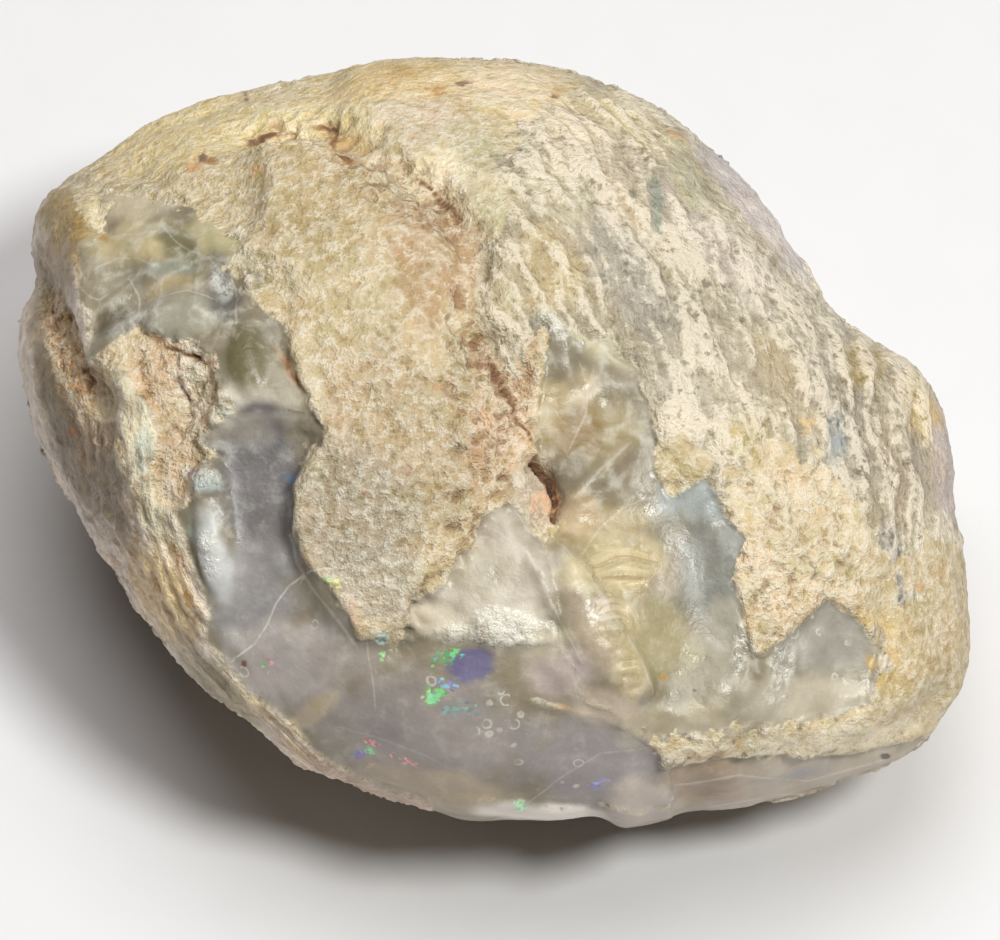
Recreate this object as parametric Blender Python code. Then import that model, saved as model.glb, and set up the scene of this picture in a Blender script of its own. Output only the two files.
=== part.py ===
# Opalized fossil shell: a clam whose two closed valves turned to opal and sandstone.
# One solid lump that lies on its lower valve, with a small worn flat to rest on.
# Lengths are millimetres on the shell unless they say otherwise; MM turns them into metres.
# Face coordinates: u runs right across the broad face, v up it, and w straight out of it.

import math

import bmesh
import bpy
import numpy as np
from mathutils import Matrix, Vector, noise

MM = 0.001

# driving dimensions
FACE_TILT = math.radians(58.0)      # how far the broad face's normal stands up from level
FRONT_DEPTH = 14.2                  # rise of the broad face above its rim plane
BACK_DEPTH = 13.6                   # drop of the lower valve below the rim plane
RIM_LEAN = -0.31                    # slope of the rim plane, so that the clam lies level
THINNING = 0.008                    # loss of thickness for each millimetre from the umbos
DOME_POWER = 2.25                   # 2 is an ellipsoid, more gives a flatter face
RIM_SOFTENING = math.radians(24.0)  # how widely the outline is averaged inside the rim
RIM_DETAIL_FADE = 6.0               # how fast the outline's dents die out inside the rim
REST_CUT = 0.85                     # how much of the lowest point is worn to a flat
SPHERE_STEPS = 7                    # subdivisions of the sphere that is shaped
TRIANGLE_BUDGET = 9400              # triangles kept in the finished solid

# outline of the broad face, clockwise from the notch between the two umbos
RIM_OUTLINE = (
    (-21.7, 7.4), (-22.0, 9.4), (-21.4, 11.5), (-20.3, 12.5), (-18.4, 13.7),
    (-16.5, 15.0), (-14.0, 16.1), (-11.8, 16.7), (-8.0, 17.5), (-3.6, 18.3),
    (-1.3, 18.2), (3.4, 17.8), (6.9, 16.3), (9.8, 14.5), (12.2, 12.3),
    (14.7, 8.4), (16.7, 5.3), (18.6, 4.4), (21.1, 2.0), (22.1, -1.2),
    (21.9, -3.1), (22.5, -6.6), (22.6, -10.0), (22.2, -12.0), (20.5, -14.3),
    (19.0, -15.4), (16.8, -16.1), (12.3, -17.3), (9.8, -17.5), (8.2, -18.1),
    (7.0, -18.4), (5.9, -18.3), (4.8, -17.9), (2.8, -18.1), (0.6, -17.9),
    (-0.7, -18.1), (-3.0, -17.4), (-7.0, -16.1), (-9.5, -14.9), (-11.7, -13.2),
    (-13.8, -11.5), (-17.3, -7.3), (-19.4, -4.2), (-21.1, -1.1), (-22.3, 2.3),
    (-22.6, 4.5), (-22.2, 6.3),
)

# patches of the broad face that stand proud or are worn back
SAND_PLATE = (
    (-9.3, 4.4), (-8.8, 2.0), (-7.6, 0.1), (-9.3, -2.3), (-9.4, -4.7), (-8.8, -6.1),
    (-6.9, -8.0), (-6.2, -9.4), (-4.5, -9.4), (-3.6, -8.0), (-2.0, -6.3), (-0.5, -4.9),
    (0.2, -2.8), (1.4, -2.2), (2.0, -4.6), (2.9, -4.4), (2.4, -1.6), (1.0, 1.9),
    (-1.2, 5.2), (-0.9, 8.9), (-2.6, 11.3), (-5.2, 13.2), (-8.0, 15.0), (-12.0, 14.6),
    (-11.0, 11.5), (-11.6, 8.9), (-9.3, 7.2),
)
OPAL_TONGUE = (
    (-13.3, -0.4), (-11.7, 1.0), (-9.8, 1.2), (-8.2, 0.1), (-9.3, -2.3), (-9.4, -4.7),
    (-8.6, -6.8), (-7.4, -9.0), (-12.4, -9.5), (-12.1, -5.0), (-12.5, -3.2),
)
MATRIX_RECESS = (
    (-17.1, 3.9), (-16.4, 5.1), (-14.5, 4.4), (-12.9, 3.4), (-12.6, 2.0), (-13.3, 0.1),
    (-13.8, -1.8), (-14.8, -3.7), (-15.7, -2.8), (-16.0, 0.1), (-16.4, 2.0),
)
UMBO_FACET = (
    (-18.6, 12.2), (-16.0, 12.4), (-12.2, 11.0), (-11.8, 8.0), (-11.4, 5.4), (-13.0, 4.0),
    (-16.2, 5.6), (-18.4, 4.4),
)
OPAL_FACET = (
    (-12.4, -9.5), (-9.0, -8.2), (-6.2, -9.6), (-2.1, -9.5), (2.1, -9.9), (4.0, -12.2),
    (7.4, -14.0), (7.9, -15.5), (7.0, -17.2), (0.0, -17.0), (-5.0, -16.0), (-8.5, -14.2),
    (-11.0, -12.0),
)
GLASS_HOLLOW = (
    (2.8, 1.9), (5.0, 4.4), (6.8, 2.0), (7.9, -0.9), (9.0, -2.5), (11.2, -4.5),
    (11.0, -8.0), (11.6, -10.0), (7.5, -12.8), (5.3, -8.5), (3.4, -6.0), (3.4, -3.8),
)
CRUST_PATCH = (
    (9.8, 0.6), (11.7, -3.7), (11.4, -5.6), (10.9, -6.6), (11.9, -9.4), (14.0, -9.4),
    (14.5, -8.5), (16.0, -7.5), (17.9, -8.5), (18.3, -5.6), (16.9, -2.8), (14.0, 0.6),
    (12.1, 2.0),
)
SMALL_WINDOW = (
    (13.8, -9.4), (14.5, -8.5), (16.0, -7.6), (16.5, -8.6), (18.1, -9.4), (17.4, -11.8),
    (16.0, -13.2), (14.0, -13.0), (13.1, -11.8),
)
LOWER_STRIP = (
    (7.9, -15.4), (11.7, -14.5), (16.9, -14.5), (21.6, -11.9), (24.0, -14.0),
    (18.0, -19.0), (9.0, -19.0),
)
# each patch with its rise, the width of its edge and how ragged that edge is
RELIEF_PATCHES = (
    (SAND_PLATE, 0.75, 0.7, 0.3),
    (OPAL_TONGUE, -1.0, 0.8, 0.0),
    (MATRIX_RECESS, -0.75, 0.7, 0.3),
    (UMBO_FACET, -0.35, 1.0, 0.0),
    (OPAL_FACET, -0.45, 0.9, 0.0),
    (GLASS_HOLLOW, -1.0, 2.6, 0.0),
    (CRUST_PATCH, 0.4, 0.8, 0.3),
    (SMALL_WINDOW, -0.55, 0.9, 0.1),
    (LOWER_STRIP, -0.8, 1.1, 0.1),
)

# lines of the broad face: grooves, cracks and ribs, each with its rise and half width
FLANK_EDGE = (
    (-18.8, 12.0), (-19.0, 6.8), (-18.6, 3.9), (-17.1, 2.5), (-16.4, -0.4),
    (-16.0, -3.7), (-14.3, -7.5), (-12.9, -9.9), (-10.7, -12.3), (-7.9, -14.9),
)
HINGE_GROOVE = ((-22.0, 7.4), (-20.6, 6.0), (-19.3, 3.5), (-18.2, 1.2))
FRACTURE = (
    (-11.7, 14.6), (-8.0, 15.0), (-5.2, 13.2), (-2.6, 11.3), (-0.9, 8.9),
    (-1.2, 5.2), (1.0, 2.2), (2.5, -1.3),
)
DEEP_SLIT = ((2.5, -1.3), (3.1, -3.9))
GLASS_RIB = ((3.3, -5.6), (6.9, -11.8))
CROSS_RIB = ((3.8, -3.0), (6.0, -0.6))
MATRIX_HOLE = ((-14.6, 1.8), (-14.4, 1.4))
RELIEF_LINES = (
    (FLANK_EDGE, 0.45, 1.1),
    (HINGE_GROOVE, -0.95, 0.9),
    (FRACTURE, -0.75, 0.7),
    (DEEP_SLIT, -1.7, 0.75),
    (GLASS_RIB, 0.65, 0.8),
    (CROSS_RIB, 0.65, 0.7),
    (MATRIX_HOLE, -1.1, 0.7),
)

# growth lines, and the stack of thin layers that shows on the flank
GROWTH_CENTRE = (-23.6, -17.0)
GROWTH_RISE = 0.22
GROWTH_PITCH = 2.3
GROWTH_START = 1.0
BACK_UMBO = (-20.5, 4.0)
BACK_GROWTH_RISE = 0.17
BACK_GROWTH_PITCH = 2.9
LAYER_STEP = 0.16
LAYER_WIDTH = 1.2
LAYER_EAST = -13.0
LAYER_NORTH = 2.0

# lumps and grit all over
RIM_BAND = 3.0                      # height over which the relief dies out at the rim
RAGGED_SIZE = 1.6
LUMP_RISE = 0.28
LUMP_SIZE = 3.4
GRIT_RISE = 0.13
GRIT_SIZE = 1.3


def ease(value):
    """Smooth step from 0 to 1 as the value goes from 0 to 1."""
    t = np.clip(value, 0.0, 1.0)
    return t * t * (3.0 - 2.0 * t)


def bell(distance, half_width):
    """1 on a line, fading to nothing a few half widths away."""
    return np.exp(-(distance / half_width) ** 2)


def segment_distance(u, v, start, end):
    """Distance from each point to one straight piece of a line."""
    along = np.subtract(end, start)
    t = ((u - start[0]) * along[0] + (v - start[1]) * along[1]) / along.dot(along)
    t = np.clip(t, 0.0, 1.0)
    return np.hypot(u - start[0] - t * along[0], v - start[1] - t * along[1])


def line_distance(u, v, points):
    """Distance from each point to an open line."""
    pieces = [segment_distance(u, v, a, b) for a, b in zip(points, points[1:])]
    return np.minimum.reduce(pieces)


def patch_distance(u, v, points):
    """Signed distance to a closed outline, positive inside."""
    inside = np.zeros(len(u), dtype=bool)
    nearest = np.full(len(u), np.inf)
    for a, b in zip(points, points[1:] + points[:1]):
        nearest = np.minimum(nearest, segment_distance(u, v, a, b))
        if a[1] == b[1]:
            continue
        spans = (a[1] > v) != (b[1] > v)
        crossing = a[0] + (v - a[1]) * (b[0] - a[0]) / (b[1] - a[1])
        inside ^= spans & (u < crossing)
    return np.where(inside, nearest, -nearest)


def rim_radius(angle):
    """Distance from the middle of the face to its outline, by a smooth closed curve."""
    knots = sorted((math.atan2(y, x), math.hypot(x, y)) for x, y in RIM_OUTLINE)
    theta = np.array([knot[0] for knot in knots])
    radius = np.array([knot[1] for knot in knots])
    turn = 2.0 * math.pi
    theta = np.concatenate((theta[-2:] - turn, theta, theta[:2] + turn))
    radius = np.concatenate((radius[-2:], radius, radius[:2]))
    slope = (radius[2:] - radius[:-2]) / (theta[2:] - theta[:-2])
    knot = np.clip(np.searchsorted(theta, angle, side="right") - 1, 1, len(theta) - 3)
    span = theta[knot + 1] - theta[knot]
    t = (angle - theta[knot]) / span
    value = radius[knot] * (1.0 + 2.0 * t) * (1.0 - t) ** 2
    value += radius[knot + 1] * t ** 2 * (3.0 - 2.0 * t)
    value += slope[knot - 1] * span * t * (1.0 - t) ** 2
    value += slope[knot] * span * t ** 2 * (t - 1.0)
    return value


def broad_radius(angle):
    """The same outline with its small dents and bumps averaged away."""
    spread = np.linspace(-RIM_SOFTENING, RIM_SOFTENING, 9)
    turned = (angle[:, None] + spread[None, :] + math.pi) % (2.0 * math.pi) - math.pi
    return rim_radius(turned.ravel()).reshape(turned.shape).mean(axis=1)


def plain_body(directions):
    """The smooth clam: the outline swept into a dome in front and a valve behind."""
    angle = np.arctan2(directions[:, 1], directions[:, 0])
    rise = np.clip(directions[:, 2], -1.0, 1.0)
    level = np.sqrt(1.0 - rise ** 2)
    detail = level ** RIM_DETAIL_FADE
    radius = detail * rim_radius(angle) + (1.0 - detail) * broad_radius(angle)
    reach = level ** (2.0 / DOME_POWER) * radius
    u = reach * np.cos(angle)
    v = reach * np.sin(angle)
    depth = np.where(rise > 0.0, FRONT_DEPTH, BACK_DEPTH) * (1.0 - THINNING * u)
    w = np.sign(rise) * np.abs(rise) ** (2.0 / DOME_POWER) * depth + RIM_LEAN * v
    return np.stack((u, v, w), axis=1)


def lumps(points, size, seed):
    """Soft irregular noise of about the given feature size, -1 to 1."""
    shift = Vector((seed, 2.3 * seed, -1.7 * seed))
    return np.array([noise.noise(Vector(point) / size + shift) for point in points])


def growth_wave(points, centre, pitch, wander, seed):
    """Rounded ridges in arcs around a centre, unevenly strong, -1 to 1."""
    age = np.hypot(points[:, 0] - centre[0], points[:, 1] - centre[1])
    age += wander * lumps(points, 5.5, seed)
    strength = 0.7 + 0.6 * lumps(points, 7.0, seed + 1.0)
    return strength * np.cos(2.0 * math.pi * age / pitch)


def front_relief(points):
    """Rise of the broad face's plates, ledges, grooves and hollows."""
    u, v = points[:, 0], points[:, 1]
    wander = lumps(points, RAGGED_SIZE, 3.0)
    relief = np.zeros(len(points))
    for outline, rise, edge, ragged in RELIEF_PATCHES:
        distance = patch_distance(u, v, outline) + ragged * wander
        relief += rise * ease(distance / edge + 0.5)
    for line, rise, half_width in RELIEF_LINES:
        relief += rise * bell(line_distance(u, v, line), half_width)
    ridged = ease((u - GROWTH_START) / 4.0)
    ridged *= ease(0.5 - patch_distance(u, v, GLASS_HOLLOW) / 2.0)
    relief += GROWTH_RISE * ridged * growth_wave(points, GROWTH_CENTRE, GROWTH_PITCH, 0.8, 7.0)
    # the flank below the umbos steps down one layer after another
    layer = np.floor(line_distance(u, v, FLANK_EDGE) / LAYER_WIDTH) * LAYER_STEP
    layer *= ease((LAYER_EAST - u) / 3.0) * ease((LAYER_NORTH - v) / 3.0)
    return relief - layer


def back_relief(points):
    """Growth ridges of the lower valve, around its umbo."""
    return BACK_GROWTH_RISE * growth_wave(points, BACK_UMBO, BACK_GROWTH_PITCH, 1.0, 11.0)


def surface_rise(points):
    """How far each point of the smooth clam is raised along its own normal."""
    height = points[:, 2] - RIM_LEAN * points[:, 1]
    # both reliefs die out at the rim, which keeps its own outline
    rise = ease(height / RIM_BAND) * front_relief(points)
    rise += ease(-height / RIM_BAND) * back_relief(points)
    rise += LUMP_RISE * lumps(points, LUMP_SIZE, 1.0)
    rise += GRIT_RISE * lumps(points, GRIT_SIZE, 5.0)
    return rise


def face_to_world():
    """Rotation from face coordinates to the table's, which has Z up."""
    lean = math.sin(FACE_TILT)
    rise = math.cos(FACE_TILT)
    return Matrix(((1.0, 0.0, 0.0), (0.0, lean, -rise), (0.0, rise, lean)))


def place_vertices(shell, points):
    for vert, point in zip(shell.verts, points):
        vert.co = point


def detailed_shell():
    """The full closed surface, in metres, turned as it lies."""
    shell = bmesh.new()
    bmesh.ops.create_icosphere(shell, subdivisions=SPHERE_STEPS, radius=1.0)
    points = plain_body(np.array([vert.co for vert in shell.verts]))
    place_vertices(shell, points)
    shell.normal_update()
    normals = np.array([vert.normal for vert in shell.verts])
    points = points + normals * surface_rise(points)[:, None]
    place_vertices(shell, points @ np.array(face_to_world()).T * MM)
    mesh = bpy.data.meshes.new("detailed_shell")
    shell.to_mesh(mesh)
    shell.free()
    return mesh


def thinned(mesh):
    """The same surface with fewer, larger facets where it is plain."""
    carrier = bpy.data.objects.new("detailed_shell", mesh)
    bpy.context.scene.collection.objects.link(carrier)
    reduce = carrier.modifiers.new("reduce", "DECIMATE")
    reduce.ratio = TRIANGLE_BUDGET / len(mesh.polygons)
    bpy.context.view_layer.update()
    evaluated = carrier.evaluated_get(bpy.context.evaluated_depsgraph_get())
    result = bpy.data.meshes.new_from_object(evaluated)
    bpy.data.objects.remove(carrier)
    return result


def settled(mesh):
    """Wear the resting flat, then stand the shell on the origin."""
    shell = bmesh.new()
    shell.from_mesh(mesh)
    floor = min(vert.co.z for vert in shell.verts) + REST_CUT * MM
    cut = bmesh.ops.bisect_plane(
        shell, geom=shell.verts[:] + shell.edges[:] + shell.faces[:],
        plane_co=(0.0, 0.0, floor), plane_no=(0.0, 0.0, -1.0), clear_outer=True)
    rim = [item for item in cut["geom_cut"] if isinstance(item, bmesh.types.BMEdge)]
    bmesh.ops.holes_fill(shell, edges=rim, sides=0)
    xs = [vert.co.x for vert in shell.verts]
    ys = [vert.co.y for vert in shell.verts]
    middle = Vector(((min(xs) + max(xs)) / 2.0, (min(ys) + max(ys)) / 2.0, floor))
    bmesh.ops.translate(shell, vec=-middle, verts=shell.verts)
    bmesh.ops.recalc_face_normals(shell, faces=shell.faces)
    shell.to_mesh(mesh)
    shell.free()
    return mesh


def fossil_material():
    material = bpy.data.materials.new("opalized_shell")
    material.use_nodes = True
    surface = material.node_tree.nodes["Principled BSDF"]
    surface.inputs["Base Color"].default_value = (0.52, 0.46, 0.36, 1.0)
    surface.inputs["Roughness"].default_value = 0.5
    surface.inputs["Metallic"].default_value = 0.0
    return material


def build():
    for item in list(bpy.data.objects):
        bpy.data.objects.remove(item)
    mesh = settled(thinned(detailed_shell()))
    mesh.name = "fossil_shell"
    mesh.materials.clear()
    mesh.materials.append(fossil_material())
    shell = bpy.data.objects.new("fossil_shell", mesh)
    bpy.context.scene.collection.objects.link(shell)


build()
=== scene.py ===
import math

import bmesh
import bpy
import numpy as np
from mathutils import Matrix, Vector, noise


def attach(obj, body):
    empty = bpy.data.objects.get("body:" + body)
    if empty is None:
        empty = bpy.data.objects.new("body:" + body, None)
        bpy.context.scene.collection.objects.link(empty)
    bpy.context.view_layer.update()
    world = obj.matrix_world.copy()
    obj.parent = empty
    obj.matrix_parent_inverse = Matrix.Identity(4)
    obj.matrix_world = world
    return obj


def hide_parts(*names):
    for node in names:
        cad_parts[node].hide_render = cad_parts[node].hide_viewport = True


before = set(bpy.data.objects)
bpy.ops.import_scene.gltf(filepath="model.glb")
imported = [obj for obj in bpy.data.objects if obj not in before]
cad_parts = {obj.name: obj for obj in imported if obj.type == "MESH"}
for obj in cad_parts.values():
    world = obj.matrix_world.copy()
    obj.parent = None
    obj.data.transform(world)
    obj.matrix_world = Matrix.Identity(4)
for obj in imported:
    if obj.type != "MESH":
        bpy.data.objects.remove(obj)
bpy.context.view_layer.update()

# Places on the shell are in millimetres on its broad face: u runs right, v up the face
# and w straight out of it. The camera looks straight at that face.
mm = 0.001
faceTilt = math.radians(58.0)
faceRight = np.array((1.0, 0.0, 0.0))
faceUp = np.array((0.0, math.sin(faceTilt), math.cos(faceTilt)))
faceOut = np.array((0.0, -math.cos(faceTilt), math.sin(faceTilt)))
rimLean = -0.31  # slope of the rim plane between the two valves


def linearColour(red, green, blue):
    # display values 0 to 255 as the light values that shaders take
    values = [value / 255.0 for value in (red, green, blue)]
    return tuple(v / 12.92 if v <= 0.04045 else ((v + 0.055) / 1.055) ** 2.4 for v in values)


def withAlpha(colour):
    return (*colour, 1.0)


def ease(value):
    t = np.clip(value, 0.0, 1.0)
    return t * t * (3.0 - 2.0 * t)


def bell(distance, halfWidth):
    return np.exp(-(distance / halfWidth) ** 2)


def rising(value, start, width):
    return ease((value - start) / width)


def falling(value, start, width):
    return ease((start - value) / width)


def crossing(distance, width):
    # eases from 0 to 1 while a signed distance passes through zero
    return ease(distance / width + 0.5)


def sideDistance(u, v, points):
    # distance to an open line, negative on its right hand side
    nearest = np.full(len(u), 1e6)
    signed = np.full(len(u), 1e6)
    for start, end in zip(points, points[1:]):
        along = np.subtract(end, start)
        du, dv = u - start[0], v - start[1]
        t = np.clip((du * along[0] + dv * along[1]) / along.dot(along), 0.0, 1.0)
        away = np.hypot(du - t * along[0], dv - t * along[1])
        side = np.where(along[0] * dv - along[1] * du < 0.0, -1.0, 1.0)
        closer = away < nearest
        nearest = np.where(closer, away, nearest)
        signed = np.where(closer, away * side, signed)
    return signed


def lineDistance(u, v, points):
    return np.abs(sideDistance(u, v, points))


def patchDistance(u, v, points):
    # distance to a closed outline, positive inside
    closed = points + points[:1]
    inside = np.zeros(len(u), dtype=bool)
    for a, b in zip(closed, closed[1:]):
        if a[1] == b[1]:
            continue
        spans = (a[1] > v) != (b[1] > v)
        inside ^= spans & (u < a[0] + (v - a[1]) * (b[0] - a[0]) / (b[1] - a[1]))
    away = lineDistance(u, v, closed)
    return np.where(inside, away, -away)


def softNoise(points, size, seed):
    shift = Vector((seed, 2.3 * seed, -1.7 * seed))
    return np.array([noise.noise(Vector(point) / size + shift) for point in points])


shellSurface = {
    "weldReach": 0.001,   # points this close, in mm, are one
    "voxel": 0.215,       # mm between the points of the finished surface
    "smoothPasses": 26,   # melts the facets of the plain solid
    "smoothShare": 0.5,
    "slitReach": 2.6,     # how far round the slit the surface is closed up
    "slitPasses": 220,
    "backStart": -0.6,    # height at which the lower valve starts, and how fast it takes over
    "backFade": 1.2,
    "backKept": 0.26,     # share of the points kept on the lower valve, which is plainer
    "backSteps": 10,      # steps in which that share fades in
    "faceDrop": 0.05,     # how far the face's middle lies above the middle of all points
    "endReach": 0.3,      # the points this close to both ends give the height of the rim
    "rimFade": 1.2,       # height over which the upper valve gives way to the lower one
    "rimBand": 2.2,       # height over which the face's relief dies out at the rim
}


class FacePlaces:
    # every point of the skin in face coordinates
    def __init__(self, points, values):
        self.points = points
        u = points @ faceRight
        v = points @ faceUp
        w = points @ faceOut
        self.u = u - (u.min() + u.max()) / 2.0
        self.v = v - (v.min() + v.max()) / 2.0 - values["faceDrop"]
        ends = np.abs(self.u) > self.u.max() - values["endReach"]
        level = w - rimLean * self.v
        self.height = level - level[ends].mean()  # above the rim plane, toward the viewer
        self.front = crossing(self.height, values["rimFade"])


def addObject(name, data):
    added = bpy.data.objects.new(name, data)
    bpy.context.scene.collection.objects.link(added)
    return added


def reshapedMesh(mesh, kind, setUp):
    # the mesh after one modifier, on an object that is there only while it works
    carrier = addObject("shellWork", mesh)
    setUp(carrier, carrier.modifiers.new("shellWork", kind))
    bpy.context.view_layer.update()
    reshaped = carrier.evaluated_get(bpy.context.evaluated_depsgraph_get())
    result = bpy.data.meshes.new_from_object(reshaped)
    bpy.data.objects.remove(carrier)
    return result


def fineCopy(node, values):
    # an even, dense skin over the plain solid, in millimetres
    mesh = node.data.copy()
    mesh.transform(Matrix.Scale(1.0 / mm, 4))
    worker = bmesh.new()
    worker.from_mesh(mesh)
    bmesh.ops.remove_doubles(worker, verts=worker.verts, dist=values["weldReach"])
    worker.to_mesh(mesh)
    worker.free()

    def setUp(carrier, remesh):
        remesh.mode = "VOXEL"
        remesh.voxel_size = values["voxel"]

    return reshapedMesh(mesh, "REMESH", setUp)


def readPoints(mesh):
    points = np.empty(len(mesh.vertices) * 3)
    mesh.vertices.foreach_get("co", points)
    return points.reshape(-1, 3)


def writePoints(mesh, points):
    mesh.vertices.foreach_set("co", points.ravel())
    mesh.update()


def readNormals(mesh):
    normals = np.empty(len(mesh.vertices) * 3)
    mesh.vertex_normals.foreach_get("vector", normals)
    return normals.reshape(-1, 3)


def relaxPoints(points, first, second, passes, share):
    # every point moves toward the middle of its neighbours
    count = np.bincount(first, minlength=len(points)) + np.bincount(second, minlength=len(points))
    count = np.maximum(count, 1)[:, None]
    for _ in range(passes):
        total = np.empty_like(points)
        for axis in range(3):
            total[:, axis] = np.bincount(first, points[second, axis], len(points))
            total[:, axis] += np.bincount(second, points[first, axis], len(points))
        points += share * (total / count - points)


def meltFacets(mesh, values):
    edges = np.empty(len(mesh.edges) * 2, dtype=np.int64)
    mesh.edges.foreach_get("vertices", edges)
    first, second = edges[0::2], edges[1::2]
    points = readPoints(mesh)
    relaxPoints(points, first, second, values["smoothPasses"], values["smoothShare"])
    # the wide slit of the plain solid closes up; a fine one is cut there later
    places = FacePlaces(points, values)
    away = lineDistance(places.u, places.v, faceLines["deepSlit"])
    healed = np.where(places.front > 0.5, ease(values["slitReach"] - away), 0.0)
    near = (healed[first] > 0.0) | (healed[second] > 0.0)
    share = values["smoothShare"] * healed[:, None]
    relaxPoints(points, first[near], second[near], values["slitPasses"], share)
    writePoints(mesh, points)


def thinBack(mesh, values):
    # fewer, larger triangles on the lower valve, where there is less to show
    places = FacePlaces(readPoints(mesh), values)
    hidden = falling(places.height, values["backStart"], values["backFade"])
    steps = values["backSteps"]

    def setUp(carrier, thinner):
        group = carrier.vertex_groups.new(name="lower valve")
        for step in range(steps + 1):
            chosen = np.nonzero(np.round(hidden * steps) == step)[0]
            group.add(chosen.tolist(), step / steps, "REPLACE")
        thinner.vertex_group = group.name
        thinner.ratio = 1.0 - (hidden > 0.5).mean() * (1.0 - values["backKept"])

    return reshapedMesh(mesh, "DECIMATE", setUp)


# outlines and lines on the broad face, u and v in mm
sandPatches = {
    "mainPlate": [
        (-20.7, 12.5), (-18.5, 14.1), (-15, 16.1), (-11.8, 17), (-7.6, 18.1), (-7, 15.7),
        (-5.2, 13.4), (-2.4, 11.3), (-0.6, 9.4), (-0.8, 6.7), (-0.7, 4.8), (0.5, 3.3),
        (1.3, 2.7), (1.7, 3.9), (2.2, 4.6), (2.5, 3.6), (2.2, 2), (2.1, 0.3), (2.5, -1.3),
        (3.1, -2.8), (3.2, -4.1), (2.4, -4.9), (1.6, -3.7), (0.8, -3), (0.1, -3.4),
        (-0.3, -3.7), (-0.4, -4.9), (-1.5, -5.9), (-2.2, -6.8), (-3.5, -8), (-4.4, -9.8),
        (-5.2, -9.5), (-6.1, -9.7), (-6.8, -8.3), (-7.8, -7.1), (-8.9, -5.9), (-9.4, -4.7),
        (-9.3, -2.3), (-8.7, -0.6), (-7.6, 0), (-8.2, 1.1), (-8.9, 2.1), (-9.4, 3.8),
        (-9.7, 5.1), (-11.1, 6.3), (-11.6, 7), (-11.6, 8.5), (-12.2, 9.8), (-13.8, 10.7),
        (-15.7, 11.7), (-17.9, 11.9), (-18.6, 11.5), (-17.9, 10), (-18.2, 9.3), (-19, 9.5),
        (-19.4, 10.3), (-19.7, 11.5)],
    "topCrust": [
        (-8.8, 18.2), (-7.8, 19.1), (-3.5, 19.3), (1.2, 18.9), (5, 18), (3.8, 16.3), (1.7, 15.1),
        (0.5, 13.2), (1, 10.8), (0.3, 9.1), (-1.6, 9.2), (-3.3, 10.6), (-5.2, 11.8),
        (-7.8, 12.6), (-8.8, 14.4)],
    "recess": [
        (-18.6, 3.4), (-17.5, 4.3), (-16.4, 5), (-15.2, 4.3), (-14, 4.3), (-12.7, 3.4),
        (-12.4, 2.1), (-12.8, 0.8), (-13.4, -0.3), (-12.8, -1), (-13.6, -1.6),
        (-13.8, -2.8), (-14.5, -3.7), (-15.5, -3.1), (-15.9, -1.4), (-15.5, 0.1),
        (-15.9, 1.3), (-16.4, 2), (-16.9, 2.9), (-17.5, 3.1)],
    "hingeMatrix": [
        (-21.6, 7.1), (-20.8, 6.8), (-19.7, 5.3), (-19.2, 4.3), (-18.6, 3.4), (-17.5, 3),
        (-17.5, 0.8), (-18.6, 0.6), (-19.5, 1.6), (-20.5, 3.2), (-21.1, 4.8), (-21.5, 6)],
    "rightCrust": [
        (10.8, -3), (11.6, -1.4), (12.6, -0.6), (14.5, -1.3), (16.1, -1.8), (17, -3),
        (17.8, -4.9), (19.5, -7.5), (19.2, -10.5), (18.5, -11.9), (18.1, -10.3), (17.8, -9.5),
        (17.1, -8.7), (16.2, -8.1), (15.6, -7.7), (14.7, -8.6), (13.5, -9.5), (12.7, -10.3),
        (12.2, -10.1), (11.8, -9.0), (11.5, -7.5), (11.1, -6.6), (11.5, -5.6), (11.8, -4.7),
        (10.8, -3.8)],
    "creamPatch": [
        (7.6, -0.6), (8.8, 0.1), (9.8, -0.5), (10, -1.6), (9.3, -2.3), (8.3, -2.8),
        (7.6, -2.1)],
    "rightMargin": [
        (18.6, -5.6), (20.5, -4.5), (21.9, -5.2), (23.5, -7.1), (23.5, -10.4), (22.9, -12.3),
        (21, -14), (19.3, -14), (17.6, -13.2), (18.0, -11.8), (18.1, -10.3), (18.8, -9),
        (19.5, -7.5)],
    "creaseLine": [
        (7.6, -14.1), (9.8, -13.7), (12.6, -13.5), (15.5, -13.2), (17.4, -12.8), (19.3, -13),
        (22.1, -11.8), (22.4, -12.3), (20.7, -14), (16.9, -14.8), (11.9, -14.7),
        (8.3, -15.3)],
}
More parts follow.
